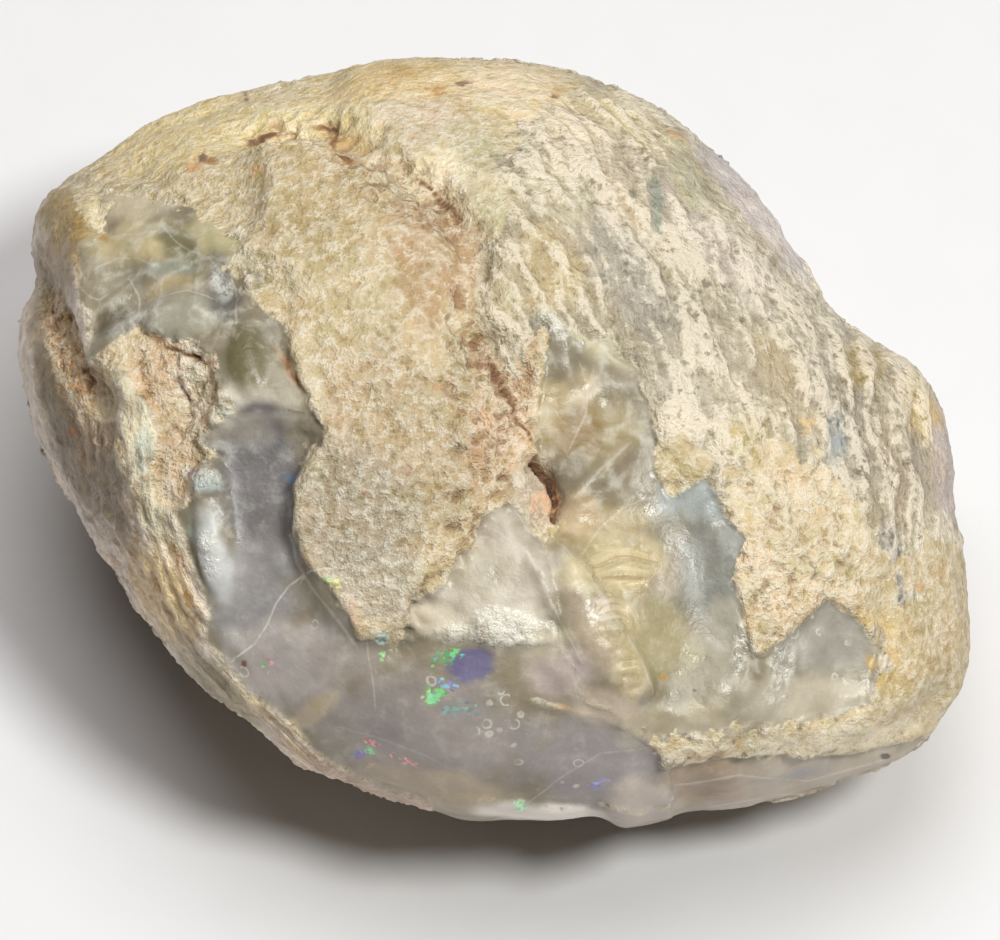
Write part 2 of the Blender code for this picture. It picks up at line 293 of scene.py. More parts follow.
glassPatches = {
    "umboGlass": [
        (-18.9, 11.7), (-17.9, 11.9), (-15.7, 11.7), (-13.8, 10.7), (-12.2, 9.8),
        (-11.6, 8.5), (-11.6, 7), (-11.1, 6.3), (-9.7, 5.1), (-9.4, 3.8), (-8.9, 2.1),
        (-8.4, 1), (-9.7, 1.1), (-11.6, 0.8), (-12.4, 2.1), (-12.7, 3.4), (-14, 4.3),
        (-15.2, 4.3), (-16.4, 5), (-17.5, 4.3), (-18.6, 3.5), (-19.1, 6.7), (-19.3, 9.1)],
    "opalField": [
        (-13.4, -0.3), (-12.4, 0.8), (-11.1, 1.3), (-9.7, 1.2), (-8.4, 1), (-7.6, 0),
        (-8.7, -0.6), (-9.3, -2.3), (-9.4, -4.7), (-8.9, -5.9), (-7.8, -7.1), (-6.8, -8.3),
        (-6.1, -9.7), (-5.2, -9.5), (-4.4, -9.8), (-2.6, -9.1), (-1.2, -9.5), (1.2, -9.8),
        (2.9, -9.6), (3.8, -10.9), (4.2, -12.3), (5, -12.5), (7.4, -13.9), (8, -15.4),
        (8.3, -17.1), (6.9, -17.6), (5, -17.1), (3.1, -17.5), (1.2, -17.1), (-0.7, -16.9),
        (-2.6, -16.9), (-4.5, -16.6), (-6.9, -15.5), (-8.3, -14.7), (-9.3, -13.3),
        (-11.4, -11.8), (-12.4, -10.4), (-13.3, -9.5), (-13, -8.3), (-14, -5.6),
        (-14.5, -3.7), (-13.8, -2.8), (-13.6, -1.6), (-12.8, -1)],
    "creamFacet": [
        (-0.4, -4.9), (-0.3, -3.7), (0.1, -3.4), (0.8, -3), (1.6, -3.7), (2.4, -4.9),
        (2.8, -7.5), (3.1, -9.5), (3.8, -10.9), (2.9, -9.6), (1.2, -9.8), (-1.2, -9.5),
        (-2.6, -9.1), (-4.4, -9.8), (-3.5, -8), (-2.2, -6.8), (-1.5, -5.9)],
    "oliveGlass": [
        (2.2, 2), (2.5, 3.6), (1.7, 5.3), (3.4, 5.1), (5, 4.6), (6.9, 2.9), (7.6, 0.1),
        (8.1, -2.3), (9.8, -1.8), (10.8, -3.7), (11.8, -4.7), (11.5, -5.6), (11.1, -6.6),
        (11.5, -7.5), (11.9, -9.7), (12.5, -11.8), (11.9, -13.3), (9.8, -14), (7.4, -13.9),
        (5, -12.5), (4.2, -12.3), (3.8, -10.9), (3.1, -9.5), (2.8, -7.5), (2.4, -4.9),
        (3.2, -4.1), (3.1, -2.8), (2.5, -1.3), (2.1, 0.3)],
    "smallWindow": [
        (12.6, -10.2), (13.5, -9.5), (14.7, -8.6), (15.6, -7.7), (16.3, -8.1), (17.2, -8.7),
        (17.9, -9.6), (18.1, -10.3), (17.8, -11.8), (17.4, -12.9), (15.5, -13.2), (13.6, -13.5),
        (11.7, -13.6), (9.8, -13.8), (8.6, -13.0), (9.3, -12.0), (10.7, -11.5), (11.6, -10.4),
        (12.2, -10.1)],
    "lowerWindow": [
        (7.9, -14), (9.8, -14), (11.9, -13.3), (12.5, -12.3), (12.9, -13.3), (12.2, -14.1),
        (9.8, -14.3), (8.1, -14.5)],
    "lowerStrip": [
        (8.1, -15.4), (11.9, -14.8), (16.9, -14.9), (20.7, -14.1), (22.4, -12.3),
        (23.9, -13.3), (21.7, -16.2), (16.9, -18.1), (9.8, -19.3), (8.3, -17.5)],
    "bottomLip": [
        (5, -17.1), (6.9, -17.6), (8.3, -17.1), (9.8, -17.6), (8.8, -20), (5, -20),
        (4.3, -17.8)],
    "footLedge": [
        (-2.8, -16.7), (-0.7, -16.8), (1.2, -17), (3.1, -17.4), (5, -17), (5, -20), (-2.8, -20)],
}
flankPatches = {
    "lowerFlank": [
        (-24.5, 6.9), (-21.7, 7.2), (-21.1, 4.8), (-20.5, 3.2), (-19.5, 1.6), (-18.6, 0.6),
        (-17.5, 0.8), (-17.1, 2.7), (-16.4, 2), (-15.9, 1.3), (-15.5, 0.1), (-15.9, -1.4),
        (-15.5, -3.1), (-14.5, -3.7), (-14, -5.6), (-13, -8.3), (-13.3, -9.5),
        (-12.4, -10.4), (-11.4, -11.8), (-9.3, -13.3), (-8.3, -14.7), (-6.9, -15.5),
        (-4.5, -16.6), (-2.6, -16.9), (-0.7, -17.6), (-2.6, -20), (-14, -19), (-24.5, -8)],
    "umboLobe": [
        (-20.7, 12.5), (-19.7, 11.5), (-19.4, 10.3), (-19, 9.5), (-19.3, 8.5), (-19.1, 6.7),
        (-18.6, 3.5), (-19.2, 4.3), (-19.7, 5.3), (-20.8, 6.8), (-21.7, 7.2), (-24.1, 8.2),
        (-24.1, 12)],
}
faceLines = {
    "fracture": [
        (-11.6, 14.5), (-9.3, 15.1), (-7.8, 15.2), (-7.1, 13.9), (-5.2, 13), (-3.9, 12.5),
        (-2.6, 11.5), (-1.9, 10.8), (-0.7, 9.2), (-0.4, 7.9), (-1.2, 6.7), (-1.5, 5.7),
        (-0.8, 4.7), (0.1, 3.3), (1, 2.1), (1.7, 0.5), (2.4, -1.4)],
    "deepSlit": [(2.3, -1.3), (2.75, -2.1), (3.05, -2.9), (3.0, -3.8)],
    "recessOverhang": [(-16.4, 5), (-15.7, 4.3), (-14.5, 3.9), (-13, 3.3)],
    "plateCrack": [(-10.1, 4.3), (-9.6, 3.3), (-9.2, 2.4), (-8.7, 1.7)],
    "seam": [(-18.9, 12.9), (-18.9, 11.7), (-18.6, 10.8), (-18.1, 9.7)],
    "oliveRib": [(3.8, -3), (5, -1.7), (6.1, -0.6)],
    "glassRib": [(3.1, -5.1), (4.1, -6.4), (5.3, -8.3), (6.5, -10.2), (7.2, -11.8)],
    "ribLeft": [(1.6, -5.3), (2.4, -7.1), (3.2, -8.7), (4.1, -10.4)],
    "whiteHair": [
        (-7.7, -6.2), (-8.6, -6.4), (-9.4, -7.0), (-10, -7.8), (-10.4, -8.8), (-11.0, -9.7),
        (-12.0, -10.4)],
    "rimA": [(-19.2, 6.8), (-18.9, 6.5), (-18.4, 6.3), (-18.0, 6.5)],
    "rimB": [(-17.0, 7.3), (-16.5, 6.5), (-16.4, 5.5)],
    "rimC": [(-19.0, 9.0), (-18.2, 9.4), (-17.0, 9.4), (-16.0, 9.6)],
    "rimD": [(-15.5, 9.9), (-14.9, 9.2), (-14.0, 8.6), (-13.2, 8.2), (-12.7, 7.6)],
    "rimE": [(-12.2, 7.2), (-11.9, 6.2), (-11.8, 5.2)],
    "rimF": [(-18.6, 7.9), (-17.6, 8.4), (-16.6, 8.3), (-15.8, 7.9)],
    "facetA": [(4.2, -5.4), (4.9, -4.4), (6.0, -3.4), (7.4, -2.9)],
    "facetB": [(3.6, -0.6), (4.3, 0.9), (4.4, 2.2), (3.9, 3.4)],
    "ovalEdge": [(-16.3, 5.3), (-15.4, 6.3), (-14.2, 6.7), (-13.0, 6.3)],
    "plateHalo": [(-9.5, -4.8), (-9.2, -6.0), (-8.2, -7.4), (-7.2, -8.6), (-6.4, -9.8)],
    "bowlLine": [(11.3, -8.2), (11.7, -9.3), (12.1, -10.2)],
    "stripHairA": [(8.7, -16.3), (11.5, -15.8), (14.8, -16.2), (18.6, -15.2)],
    "stripHairB": [(10.2, -17.5), (13.4, -16.9), (16.4, -16.9)],
    "midHair": [(-5.8, -9.8), (-5.5, -11.3), (-5.4, -12.5)],
    "lowHair": [(-7.1, -13.5), (-5.2, -14), (-3.1, -14.8), (-2.1, -15.4)],
    "rightHair": [(6.9, -14.5), (5, -14.7), (3.1, -15.9), (1.7, -17.1)],
    "veinBreak": [(1.7, -12.3), (3.1, -12.7), (5, -12.9), (6.2, -13.4), (7.9, -14.5)],
    "sparkVein": [(11.6, -8), (11.9, -9), (12.1, -9.9), (12.3, -11)],
    "glintStreak": [(2, 5.8), (2.9, 5.1), (3.8, 4.5), (4.6, 3.9)],
    "crease": [
        (7.6, -14.8), (9.8, -14.6), (11.9, -14.5), (16.9, -14.5), (19.5, -14), (22.3, -11.8)],
    "crumblyEdge": [
        (0.1, -2.6), (-0.3, -3.7), (-0.5, -4.9), (-2.0, -6.2), (-3.0, -7.5), (-4.0, -9.4)],
    "flankEdge": [
        (-18.8, 12.0), (-19.0, 6.8), (-18.6, 3.9), (-17.1, 2.5), (-16.4, -0.4),
        (-16.0, -3.7), (-14.3, -7.5), (-12.9, -9.9), (-10.7, -12.3), (-7.9, -14.9)],
}

# steps on the face: crisp rise and its width, the soft rise of the plain solid that it
# replaces and that one's width, and how ragged the step is
faceLedges = {
    "mainPlate": (0.19, 0.50, 0.70, 2.2, 0.24),
    "recess": (-0.44, 0.75, -0.70, 2.2, 0.25),
    "opalField": (-0.17, 0.30, -0.22, 2.0, 0.03),
    "oliveGlass+smallWindow": (-0.26, 0.50, -0.36, 2.4, 0.22),
    "rightCrust": (0.15, 0.45, 0.40, 2.0, 0.20),
    "lowerStrip": (-0.50, 0.50, -0.60, 2.4, 0.08),
    "creamPatch": (0.12, 0.30, 0.20, 2.0, 0.20),
    "umboGlass": (-0.16, 0.60, -0.20, 2.4, 0.30),
    "creamFacet": (0.04, 0.40, 0.20, 2.0, 0.10),
}
# where the sandy plate runs on with less of a ledge: the share it loses, and where each
# loss starts and how fast it grows
plateRunsOn = {
    "upperLoss": 0.9,
    "umboEast": (-9.0, 3.0),
    "umboNorth": (6.0, 2.0),
    "top": (9.5, 2.5),
    "footLoss": 0.55,
    "footEast": (-5.5, 1.5),
    "footSouth": (-4.0, 1.5),
}
# cracks and ribs: rise, half width, how much noise breaks them up
faceCuts = {
    "fracture": (-0.10, 0.12, 1.0),
    "deepSlit": (-1.0, 0.17, 0.0),
    "recessOverhang": (-0.20, 0.16, 0.7),
    "plateCrack": (-0.30, 0.15, 0.6),
    "seam": (-0.14, 0.16, 0.7),
    "oliveRib": (0.30, 0.35, 0.2),
    "glassRib": (0.22, 0.40, 0.2),
    "ribLeft": (0.16, 0.22, 0.2),
    "veinBreak": (0.18, 0.14, 0.6),
    "sparkVein": (0.20, 0.16, 0.6),
    "glintStreak": (0.22, 0.16, 0.5),
    "crease": (0.20, 0.30, 0.6),
}
# chips and swellings in the glassy opal: u, v, half length, half width, turn, rise
chips = {
    "oliveLeft": (3.1, 0.8, 1.5, 2.2, -10, -0.22),
    "oliveMiddle": (5.4, 0.5, 1.3, 2.2, -22, -0.22),
    "oliveTop": (6.1, 3.4, 1.9, 1.0, -20, -0.14),
    "oliveLow": (5.6, -4.0, 2.3, 1.0, 12, -0.20),
    "greyBowl": (9.0, -7.0, 2.4, 3.7, 12, -0.16),
    "bowlFoot": (9.3, -11.6, 2.2, 1.6, 0, -0.18),
    "umboUpper": (-16.4, 10.3, 2.2, 1.3, 0, -0.25),
    "umboLeft": (-17.4, 7.9, 1.6, 1.4, 0, -0.25),
    "umboBlue": (-14.5, 8.9, 1.6, 1.6, -30, -0.38),
    "umboOval": (-14.5, 5.7, 1.9, 1.05, 5, 0.38),
    "oliveLump": (-11.3, 3.4, 0.95, 1.7, 8, 0.42),
    "sparkHollow": (-12.4, 6.8, 0.8, 1.2, 0, -0.40),
    "pearlUpper": (-13.0, -2.2, 1.0, 0.75, 0, 0.30),
    "pearlLower": (-13.0, -5.4, 0.75, 2.3, 12, 0.36),
    "creamSwell": (0.4, -7.0, 2.3, 1.8, 0, 0.10),
    "windowChip": (16.4, -10.8, 1.5, 1.4, 0, -0.25),
    "slitLobe": (2.0, -2.7, 0.9, 1.4, 8, 0.30),
}
growthRings = {
    "faceCentre": (-21.6, -4.7),
    "backUmbo": (-20.5, 4.0, 2.0),
    "faceSpread": 34.0,       # mm along a growth line for each radian round its centre
    "backSpread": 22.0,
    "warp": 0.9,              # mm that the lines wander, and the finer share of it
    "fineWarp": 0.35,
    "finePitch": 0.85,
    "fineRise": 0.012,
    "streakRise": 0.11,
    "streaks": ((0.62, 4.2, 11.0, 1.0), (0.34, 2.2, 12.0, 0.8)),  # width, length, seed, share
    "layerPitch": 0.52,
    "layerRise": 0.06,
    "layerWander": 0.25,
    "layerEast": (-5.0, 4.0),   # where the stack of layers starts and how fast it sets in
    "layerNorth": (3.5, 3.0),
    "layerReach": (3.9, 1.5),
}
# the lower valve, seen from behind and below, in the same u and v
backSandPatches = {
    "hingeCrust": [
        (-24, 12), (-24, 1), (-19, 0), (-15.5, 3.5), (-11, 4), (-9, 8.5), (-4, 10.5),
        (-1.5, 14), (-3, 20), (-12, 20), (-20, 15)],
    "rightCrust": [
        (24, -3), (19.5, -4.5), (16.5, -3), (14.6, -6.5), (16, -10), (14.8, -13.5),
        (19, -16), (24, -14)],
    "lowCrust": [
        (-8, -5.5), (-4, -4), (-0.5, -6), (1, -9), (-2, -12), (-7, -11.5), (-9.5, -8.5)],
    "smallCrust": [(5, 4.5), (8.5, 5.5), (10, 3), (7.5, 1), (4.8, 2)],
}
backGlassPatches = {
    "deepWindow": [
        (-6, 3), (-1, 5.5), (2.5, 3), (2, -1.5), (-1.5, -3), (-5.5, -1.5), (-7.5, 0.5)],
    "rimWindow": [
        (5, -19), (12, -18), (14, -13), (9, -10.5), (4, -12), (0, -14.5), (-2, -19)],
    "topWindow": [(9, 8), (12, 9), (14, 6), (11.5, 3.5), (9.5, 5)],
    "flankWindow": [(-20, -1), (-16, -0.5), (-12.5, -5), (-14, -9.5), (-18, -7)],
}


# noise all over the shell: size of its lumps in mm, and a seed of its own
noiseKinds = {
    "ragged": (0.8, 3.0),
    "raggedFine": (0.35, 4.0),
    "frayWide": (1.9, 5.0),
    "frayFine": (0.9, 6.0),
    "cutGaps": (1.1, 9.0),
    "crackGaps": (1.6, 9.0),
    "layerWander": (4.0, 14.0),
    "fanWander": (1.5, 15.0),
    "ageWide": (5.0, 21.0),
    "ageFine": (1.7, 22.0),
    "grain": (1.05, 31.0),
    "grainFine": (0.5, 32.0),
    "loosePits": (0.62, 33.0),
    "opalSwell": (3.2, 34.0),
    "crumple": (0.8, 35.0),
    "edgePits": (0.55, 37.0),
    "crestWide": (1.5, 38.0),
    "crestFine": (0.8, 39.0),
    "polishFolds": (0.55, 40.0),
    "toneEdge": (1.4, 41.0),
    "toneEdgeFine": (0.6, 42.0),
    "coverEdge": (1.4, 43.0),
}
# how far that noise moves an edge or breaks up a line
edgeWander = {
    "raggedFine": 0.5,
    "wide": 0.9,              # where one finish frays into the next
    "fine": 0.7,
    "ragged": 0.3,
    "sandRagged": 0.26,
    "glassRagged": 0.06,
    "glassShare": 0.7,
    "backFray": 1.2,
    "cuts": 0.12,
    "chips": 0.08,
    "cracks": 0.08,
    "fan": 0.2,
    "polish": 0.4,
    "covers": 0.3,
    "tones": (0.30, 0.18),
    "cutGaps": (0.6, 2.2),    # strength where there is no noise, and what the noise adds
    "cutMost": 1.2,
    "crackGaps": (0.45, 1.8),
}
# where a cloud starts to fade and over how much: at its own edge, and beyond the rim
cloudFade = {"edge": (1.3, 0.7), "rim": (-4.5, 5.0), "rimWobble": 3.0}
edgeReach = 3.0  # mm from a finish's edge within which the distance is kept


def jitter(places, kind):
    size, seed = noiseKinds[kind]
    return softNoise(places.points, size, seed)


def raggedNoise(places):
    return jitter(places, "ragged") + edgeWander["raggedFine"] * jitter(places, "raggedFine")


def stretchedNoise(age, along, width, length, seed):
    cells = np.stack((age / width, along / length, np.full(len(age), seed)), axis=1)
    return np.array([noise.noise(Vector(cell)) for cell in cells])


def crests(values, sharpness):
    # thin crests where a noise passes through zero
    return np.clip(1.0 - sharpness * np.abs(values), 0.0, 1.0) ** 2


def scallops(places, size, seed):
    # shell-like chips: small bowls that meet in crisp ridges, and how far off a ridge is
    shift = Vector((seed, -seed, 0.5 * seed))
    cells = [noise.voronoi(Vector(point) / size + shift)[0][:2] for point in places.points]
    nearest, second = np.array(cells).T
    return nearest ** 2, (second - nearest) * size


def cloudReach(places, cloud):
    # distance from a cloud's middle, 1 at its half length and half width
    u, v, length, width, turn = cloud[:5]
    c, s = math.cos(math.radians(turn)), math.sin(math.radians(turn))
    du, dv = places.u - u, places.v - v
    return np.hypot((du * c + dv * s) / length, (dv * c - du * s) / width)


def cloudWeight(places, cloud, wobble):
    # clouds run a few millimetres round the rim before they fade
    inside = falling(cloudReach(places, cloud) - wobble, *cloudFade["edge"])
    return inside * rising(places.height + cloudFade["rimWobble"] * wobble, *cloudFade["rim"])


def addedClouds(places, start, clouds, wobble=0.0):
    # every cloud adds its strength to what is there
    total = np.zeros(len(places.u)) + start
    for cloud in clouds.values():
        total += cloud[5] * cloudWeight(places, cloud, wobble)
    return total


def strongestCloud(places, clouds, wobble=0.0):
    strongest = np.zeros(len(places.u))
    for cloud in clouds.values():
        strongest = np.maximum(strongest, cloud[5] * cloudWeight(places, cloud, wobble))
    return strongest


def nearestPatch(places, patches):
    distances = [patchDistance(places.u, places.v, outline) for outline in patches.values()]
    return np.maximum.reduce(distances)


def bothSides(places, facePatches, backPatches):
    # one signed distance for a finish: its patches on the face and on the lower valve
    face = nearestPatch(places, facePatches)
    back = nearestPatch(places, backPatches) if backPatches else -edgeReach
    return face * places.front + back * (1.0 - places.front)


def growthPlaces(places, values):
    # how old the shell is at each point, and how far along the growth line it lies
    cu, cv = values["faceCentre"]
    faceAge = np.hypot(places.u - cu, places.v - cv)
    faceAlong = np.arctan2(places.v - cv, places.u - cu) * values["faceSpread"]
    bu, bv, bw = values["backUmbo"]
    backAge = np.sqrt((places.u - bu) ** 2 + (places.v - bv) ** 2 + (places.height + bw) ** 2)
    backAlong = np.arctan2(places.v - bv, places.u - bu) * values["backSpread"]
    warp = values["warp"] * jitter(places, "ageWide")
    warp += values["fineWarp"] * values["warp"] * jitter(places, "ageFine")
    age = faceAge * places.front + backAge * (1.0 - places.front) + warp
    along = faceAlong * places.front + backAlong * (1.0 - places.front)
    return age, along


def plateLedge(places, values):
    # how much of its ledge the sandy plate keeps
    u, v = places.u, places.v
    umbo = falling(u, *values["umboEast"]) * rising(v, *values["umboNorth"])
    kept = 1.0 - values["upperLoss"] * np.maximum(umbo, rising(v, *values["top"]))
    foot = falling(u, *values["footEast"]) * falling(v, *values["footSouth"])
    return kept, 1.0 - values["footLoss"] * foot


def faceRelief(places):
    u, v = places.u, places.v
    ragged = raggedNoise(places)
    relief = np.zeros(len(u))
    allPatches = {**sandPatches, **glassPatches}
    for name, (rise, edge, oldRise, oldEdge, rough) in faceLedges.items():
        outlines = [allPatches[part] for part in name.split("+")]
        distance = np.maximum.reduce([patchDistance(u, v, outline) for outline in outlines])
        sharp = rise * crossing(distance + rough * ragged, edge)
        if name == "mainPlate":
            for kept in plateLedge(places, plateRunsOn):
                sharp *= kept
        relief += sharp - oldRise * crossing(distance, oldEdge)
    least, more = edgeWander["cutGaps"]
    gaps = least + more * jitter(places, "cutGaps")
    for name, (rise, halfWidth, broken) in faceCuts.items():
        away = lineDistance(u, v, faceLines[name]) + edgeWander["cuts"] * ragged
        strength = np.clip(1.0 - broken + broken * gaps, 0.0, edgeWander["cutMost"])
        relief += rise * strength * bell(away, halfWidth)
    for chip in chips.values():
        reach = cloudReach(places, chip) + edgeWander["chips"] * ragged
        relief += chip[5] * np.clip(1.0 - reach ** 2, 0.0, 1.0)
    return relief * ease(places.height / shellSurface["rimBand"])


# the finish's own small relief: how far each part of it rises, in mm
skinRises = {
    "sandGrain": 0.20,
    "sandGrainFine": 0.11,
    "firmSand": 0.3,         # share of the grain that shows on firm, less gritty sand
    "pits": -0.30,
    "opalBowls": 0.42,
    "opalChips": 0.12,
    "chips": (0.9, 8.0),     # size and seed
    "bowls": (2.1, 7.0),
    "opalSwell": 0.05,
    "polishFolds": 0.20,
    "crests": 0.16,
    "crumple": 0.10,
    "crumpleLoss": {"glass": 0.85, "firmSand": 0.55, "grown": 0.4},
    "chalk": 0.09,
    "fan": 1.3,              # the rib fan against the layers of the flank
    "edges": {"sand": 0.4, "glass": 0.4, "flank": 0.5},  # mm over which each takes over
    "looseGrit": (0.3, 0.7),
    "chalkLevel": (-0.02, 0.08),
    "crestShares": {"crestWide": 0.7, "crestFine": 0.5},
    "crestSharp": 3.2,
}


def skinRelief(places, marks, values):
    edges = values["edges"]
    sand = crossing(marks["sandEdge"], edges["sand"])
    glass = crossing(marks["glassEdge"], edges["glass"]) * (1.0 - sand)
    flank = crossing(marks["flankEdge"], edges["flank"]) * (1.0 - sand) * (1.0 - glass)
    grown = (1.0 - sand) * (1.0 - glass) * (1.0 - flank)
    loose = rising(marks["grit"], *values["looseGrit"])
    grain = values["sandGrain"] * jitter(places, "grain")
    grain += values["sandGrainFine"] * jitter(places, "grainFine")
    firm = values["firmSand"]
    relief = sand * (firm + (1.0 - firm) * loose) * grain + values["pits"] * marks["pits"]
    chipped = glass * np.clip(marks["chipped"], 0.0, 1.0)
    smallChips = scallops(places, *values["chips"])[0]
    relief += chipped * (values["opalBowls"] * marks["bowls"] + values["opalChips"] * smallChips)
    relief += glass * values["opalSwell"] * jitter(places, "opalSwell")
    folds = np.abs(jitter(places, "polishFolds"))
    relief += glass * marks["polish"] * values["polishFolds"] * folds
    loss = values["crumpleLoss"]
    crumple = values["crests"] * marks["crest"] + values["crumple"] * jitter(places, "crumple")
    crumple *= 1.0 - loss["glass"] * glass
    crumple *= 1.0 - loss["firmSand"] * sand * (1.0 - loose)
    relief += crumple * (1.0 - loss["grown"] * grown)
    ring = np.cos(2.0 * math.pi * marks["age"] / growthRings["finePitch"])
    relief += grown * (growthRings["fineRise"] * ring + growthRings["streakRise"] * marks["streak"])
    relief += grown * values["chalk"] * rising(marks["chalk"], *values["chalkLevel"])
    layer = np.cos(2.0 * math.pi * marks["layer"] / growthRings["layerPitch"])
    layers = np.maximum(flank, values["fan"] * marks["fan"]) * marks["layered"]
    relief += layers * growthRings["layerRise"] * layer
    return relief


# how much chalky shell is left: u, v, half length, half width, turn, more or less
chalkCover = {
    "base": -0.01,
    "streaks": 0.24,
    "clouds": {
        "patchUpper": (8.9, 8.6, 2.2, 0.9, -72, 0.09),
        "patchMiddle": (9.3, 2.6, 3.8, 1.6, -70, 0.07),
        "patchLow": (9.9, 0.3, 1.9, 1.6, 0, 0.06),
        "streakLeft": (6.4, 9.0, 4.2, 0.6, -66, 0.06),
        "streakRight": (14.3, 4.6, 3.6, 0.9, -72, 0.07),
        "creamRight": (15.0, 1.5, 2.6, 1.0, -80, 0.06),
        "topRidge": (0.9, 13.5, 4.2, 2.6, -50, 0.05),
        "topLine": (3.4, 13.0, 4.0, 0.8, -60, 0.05),
        "bareSweep": (6.0, 6.9, 5.0, 1.0, -62, -0.11),
        "bareShoulder": (2.4, 7.6, 2.1, 3.2, -30, -0.04),
        "bareOlive": (12.7, 2.9, 2.4, 2.0, -30, -0.05),
        "bareWindow": (-0.4, 13.9, 0.6, 1.7, 40, -0.16),
        "barePane": (7.8, 10.9, 0.5, 1.6, 0, -0.22),
        "greenPane": (9.3, 12.0, 0.9, 1.9, 20, -0.12),
        "bareMauve": (12.3, 11.0, 4.0, 1.0, -52, -0.22),
        "bareSide": (21.8, -1.0, 1.2, 3.2, 0, -0.25),
        "marginCream": (20.7, -5.6, 1.4, 4.2, 0, 0.08),
        "goldEdge": (9.0, 14.5, 4.0, 0.8, -38, 0.05),
    },
}
# how loose and gritty the crust is
gritCover = {
    "base": 0.25,
    "most": 1.2,
    "clouds": {
        "plate": (-4.8, -1.0, 4.6, 6.5, 0, 0.25),
        "pinkMargin": (0.2, 2.2, 2.1, 8.0, -10, 0.50),
        "plateTop": (-4.4, 11.5, 4.0, 1.2, -28, 0.35),
        "recess": (-14.6, 1.2, 2.4, 4.6, 0, 0.45),
        "hinge": (-20.0, 4.0, 2.2, 4.0, 0, 0.70),
        "rightCrust": (14.2, -5.6, 3.6, 4.4, 0, 0.42),
    },
}
# breaks in the glassy opal that show as stacked ribs, and how the ribs climb and arch
ribFans = {
    "climb": 0.10,
    "climbFrom": 4.0,
    "arch": 0.05,
    "archMiddle": 5.5,
    "spacing": 0.85,
    "wander": 0.2,
    "clouds": {
        "upper": (5.9, -6.0, 2.5, 1.5, -6, 1.0),
        "middle": (5.4, -8.4, 1.2, 1.6, 15, 1.0),
        "low": (6.2, -11.0, 0.7, 1.3, 15, 1.0),
    },
}
# where one finish frays into the next: how many mm the edge wanders
frayedEdges = {
    "umbo": (-12.5, 9.8, 6.0, 3.2, -12, 1.9),
    "top": (-7.0, 15.0, 5.0, 3.5, -10, 1.6),
    "topRight": (2.6, 14.0, 3.0, 5.5, 30, 1.8),
    "oliveTop": (4.5, 4.5, 4.0, 2.4, -30, 0.8),
    "crustTop": (13.5, -1.5, 4.0, 1.8, 0, 1.3),
    "crustSide": (19.5, -8.0, 2.0, 5.0, 0, 1.2),
    "lowCrust": (12.0, -13.8, 8.0, 1.6, 0, 0.8),
    "seam": (-19.4, 9.0, 1.6, 4.5, 0, 0.8),
}
# where the glassy opal has broken into small bowls
chippedGlass = {
    "back": 0.5,
    "ridgeWidth": 0.30,
    "ridgeRagged": 0.10,
    "clouds": {
        "umbo": (-15.5, 7.5, 3.6, 4.6, 0, 0.7),
        "umboFoot": (-11.0, 5.0, 1.6, 3.4, 0, 0.5),
        "olive": (5.0, 0.5, 3.2, 4.5, 0, 0.6),
        "foot": (6.0, -9.0, 1.8, 3.0, 30, 0.2),
        "tongueSide": (-13.0, -3.4, 0.8, 3.2, 8, 0.8),
        "creamFoot": (0.6, -9.2, 2.2, 0.8, 0, 0.6),
    },
}
# cracks painted dark, with brown stain along them and painted shade deep in them: half width and
# depth
crackShadeLines = {
    "fracture": (0.12, 0.75),
    "deepSlit": (0.14, 1.0),
    "recessOverhang": (0.15, 0.7),
    "plateCrack": (0.13, 0.6),
    "seam": (0.11, 0.3),
}
# where the sand is pitted: along two broken edges, and wherever it is loose
sandPits = {
    "edges": {"fracture": (0.3, 0.75), "crumblyEdge": (0.2, 0.4)},  # raggedness, half width
    "edgeLevel": (-0.02, 0.2),
    "looseLevel": (0.34, 0.22),
    "gritHelp": 0.22,
    "gritLevel": (0.35, 0.5),
    "sandEdge": 0.5,
}
# fine pale lines in the opal, and how clearly each shows
hairLines = {
    "whiteHair": 0.6, "midHair": 0.25, "lowHair": 0.15, "rightHair": 0.18,
    "rimA": 0.35, "rimB": 0.35, "rimC": 0.22, "rimD": 0.18, "rimE": 0.22, "rimF": 0.2,
    "facetA": 0.2, "facetB": 0.2, "ovalEdge": 0.3, "plateHalo": 0.25, "bowlLine": 0.3,
    "stripHairA": 0.35, "stripHairB": 0.3, "oliveRib": 0.2, "glassRib": 0.18, "ribLeft": 0.22,
}
# where small round bubble marks sit in the opal
bubbleMarks = {
    "cluster": (0.6, -13.2, 1.3, 1.7, 0, 1.0),
    "middle": (-2.0, -11.6, 1.9, 1.0, 10, 0.6),
    "tealSide": (-4.6, -10.6, 1.2, 1.5, 0, 0.7),
    "left": (-7.4, -9.4, 1.8, 1.2, 0, 0.7),
    "leftLow": (-11.0, -10.6, 1.2, 1.0, 0, 0.8),
    "foot": (3.0, -15.4, 2.4, 1.2, 0, 0.5),
    "tongue": (-10.3, -6.6, 0.8, 0.6, 0, 0.4),
    "bowl": (9.4, -10.6, 1.4, 1.2, 0, 0.5),
    "window": (15.4, -10.2, 1.8, 1.6, 0, 0.5),
    "umbo": (-12.0, 10.9, 0.9, 0.6, 0, 0.8),
}
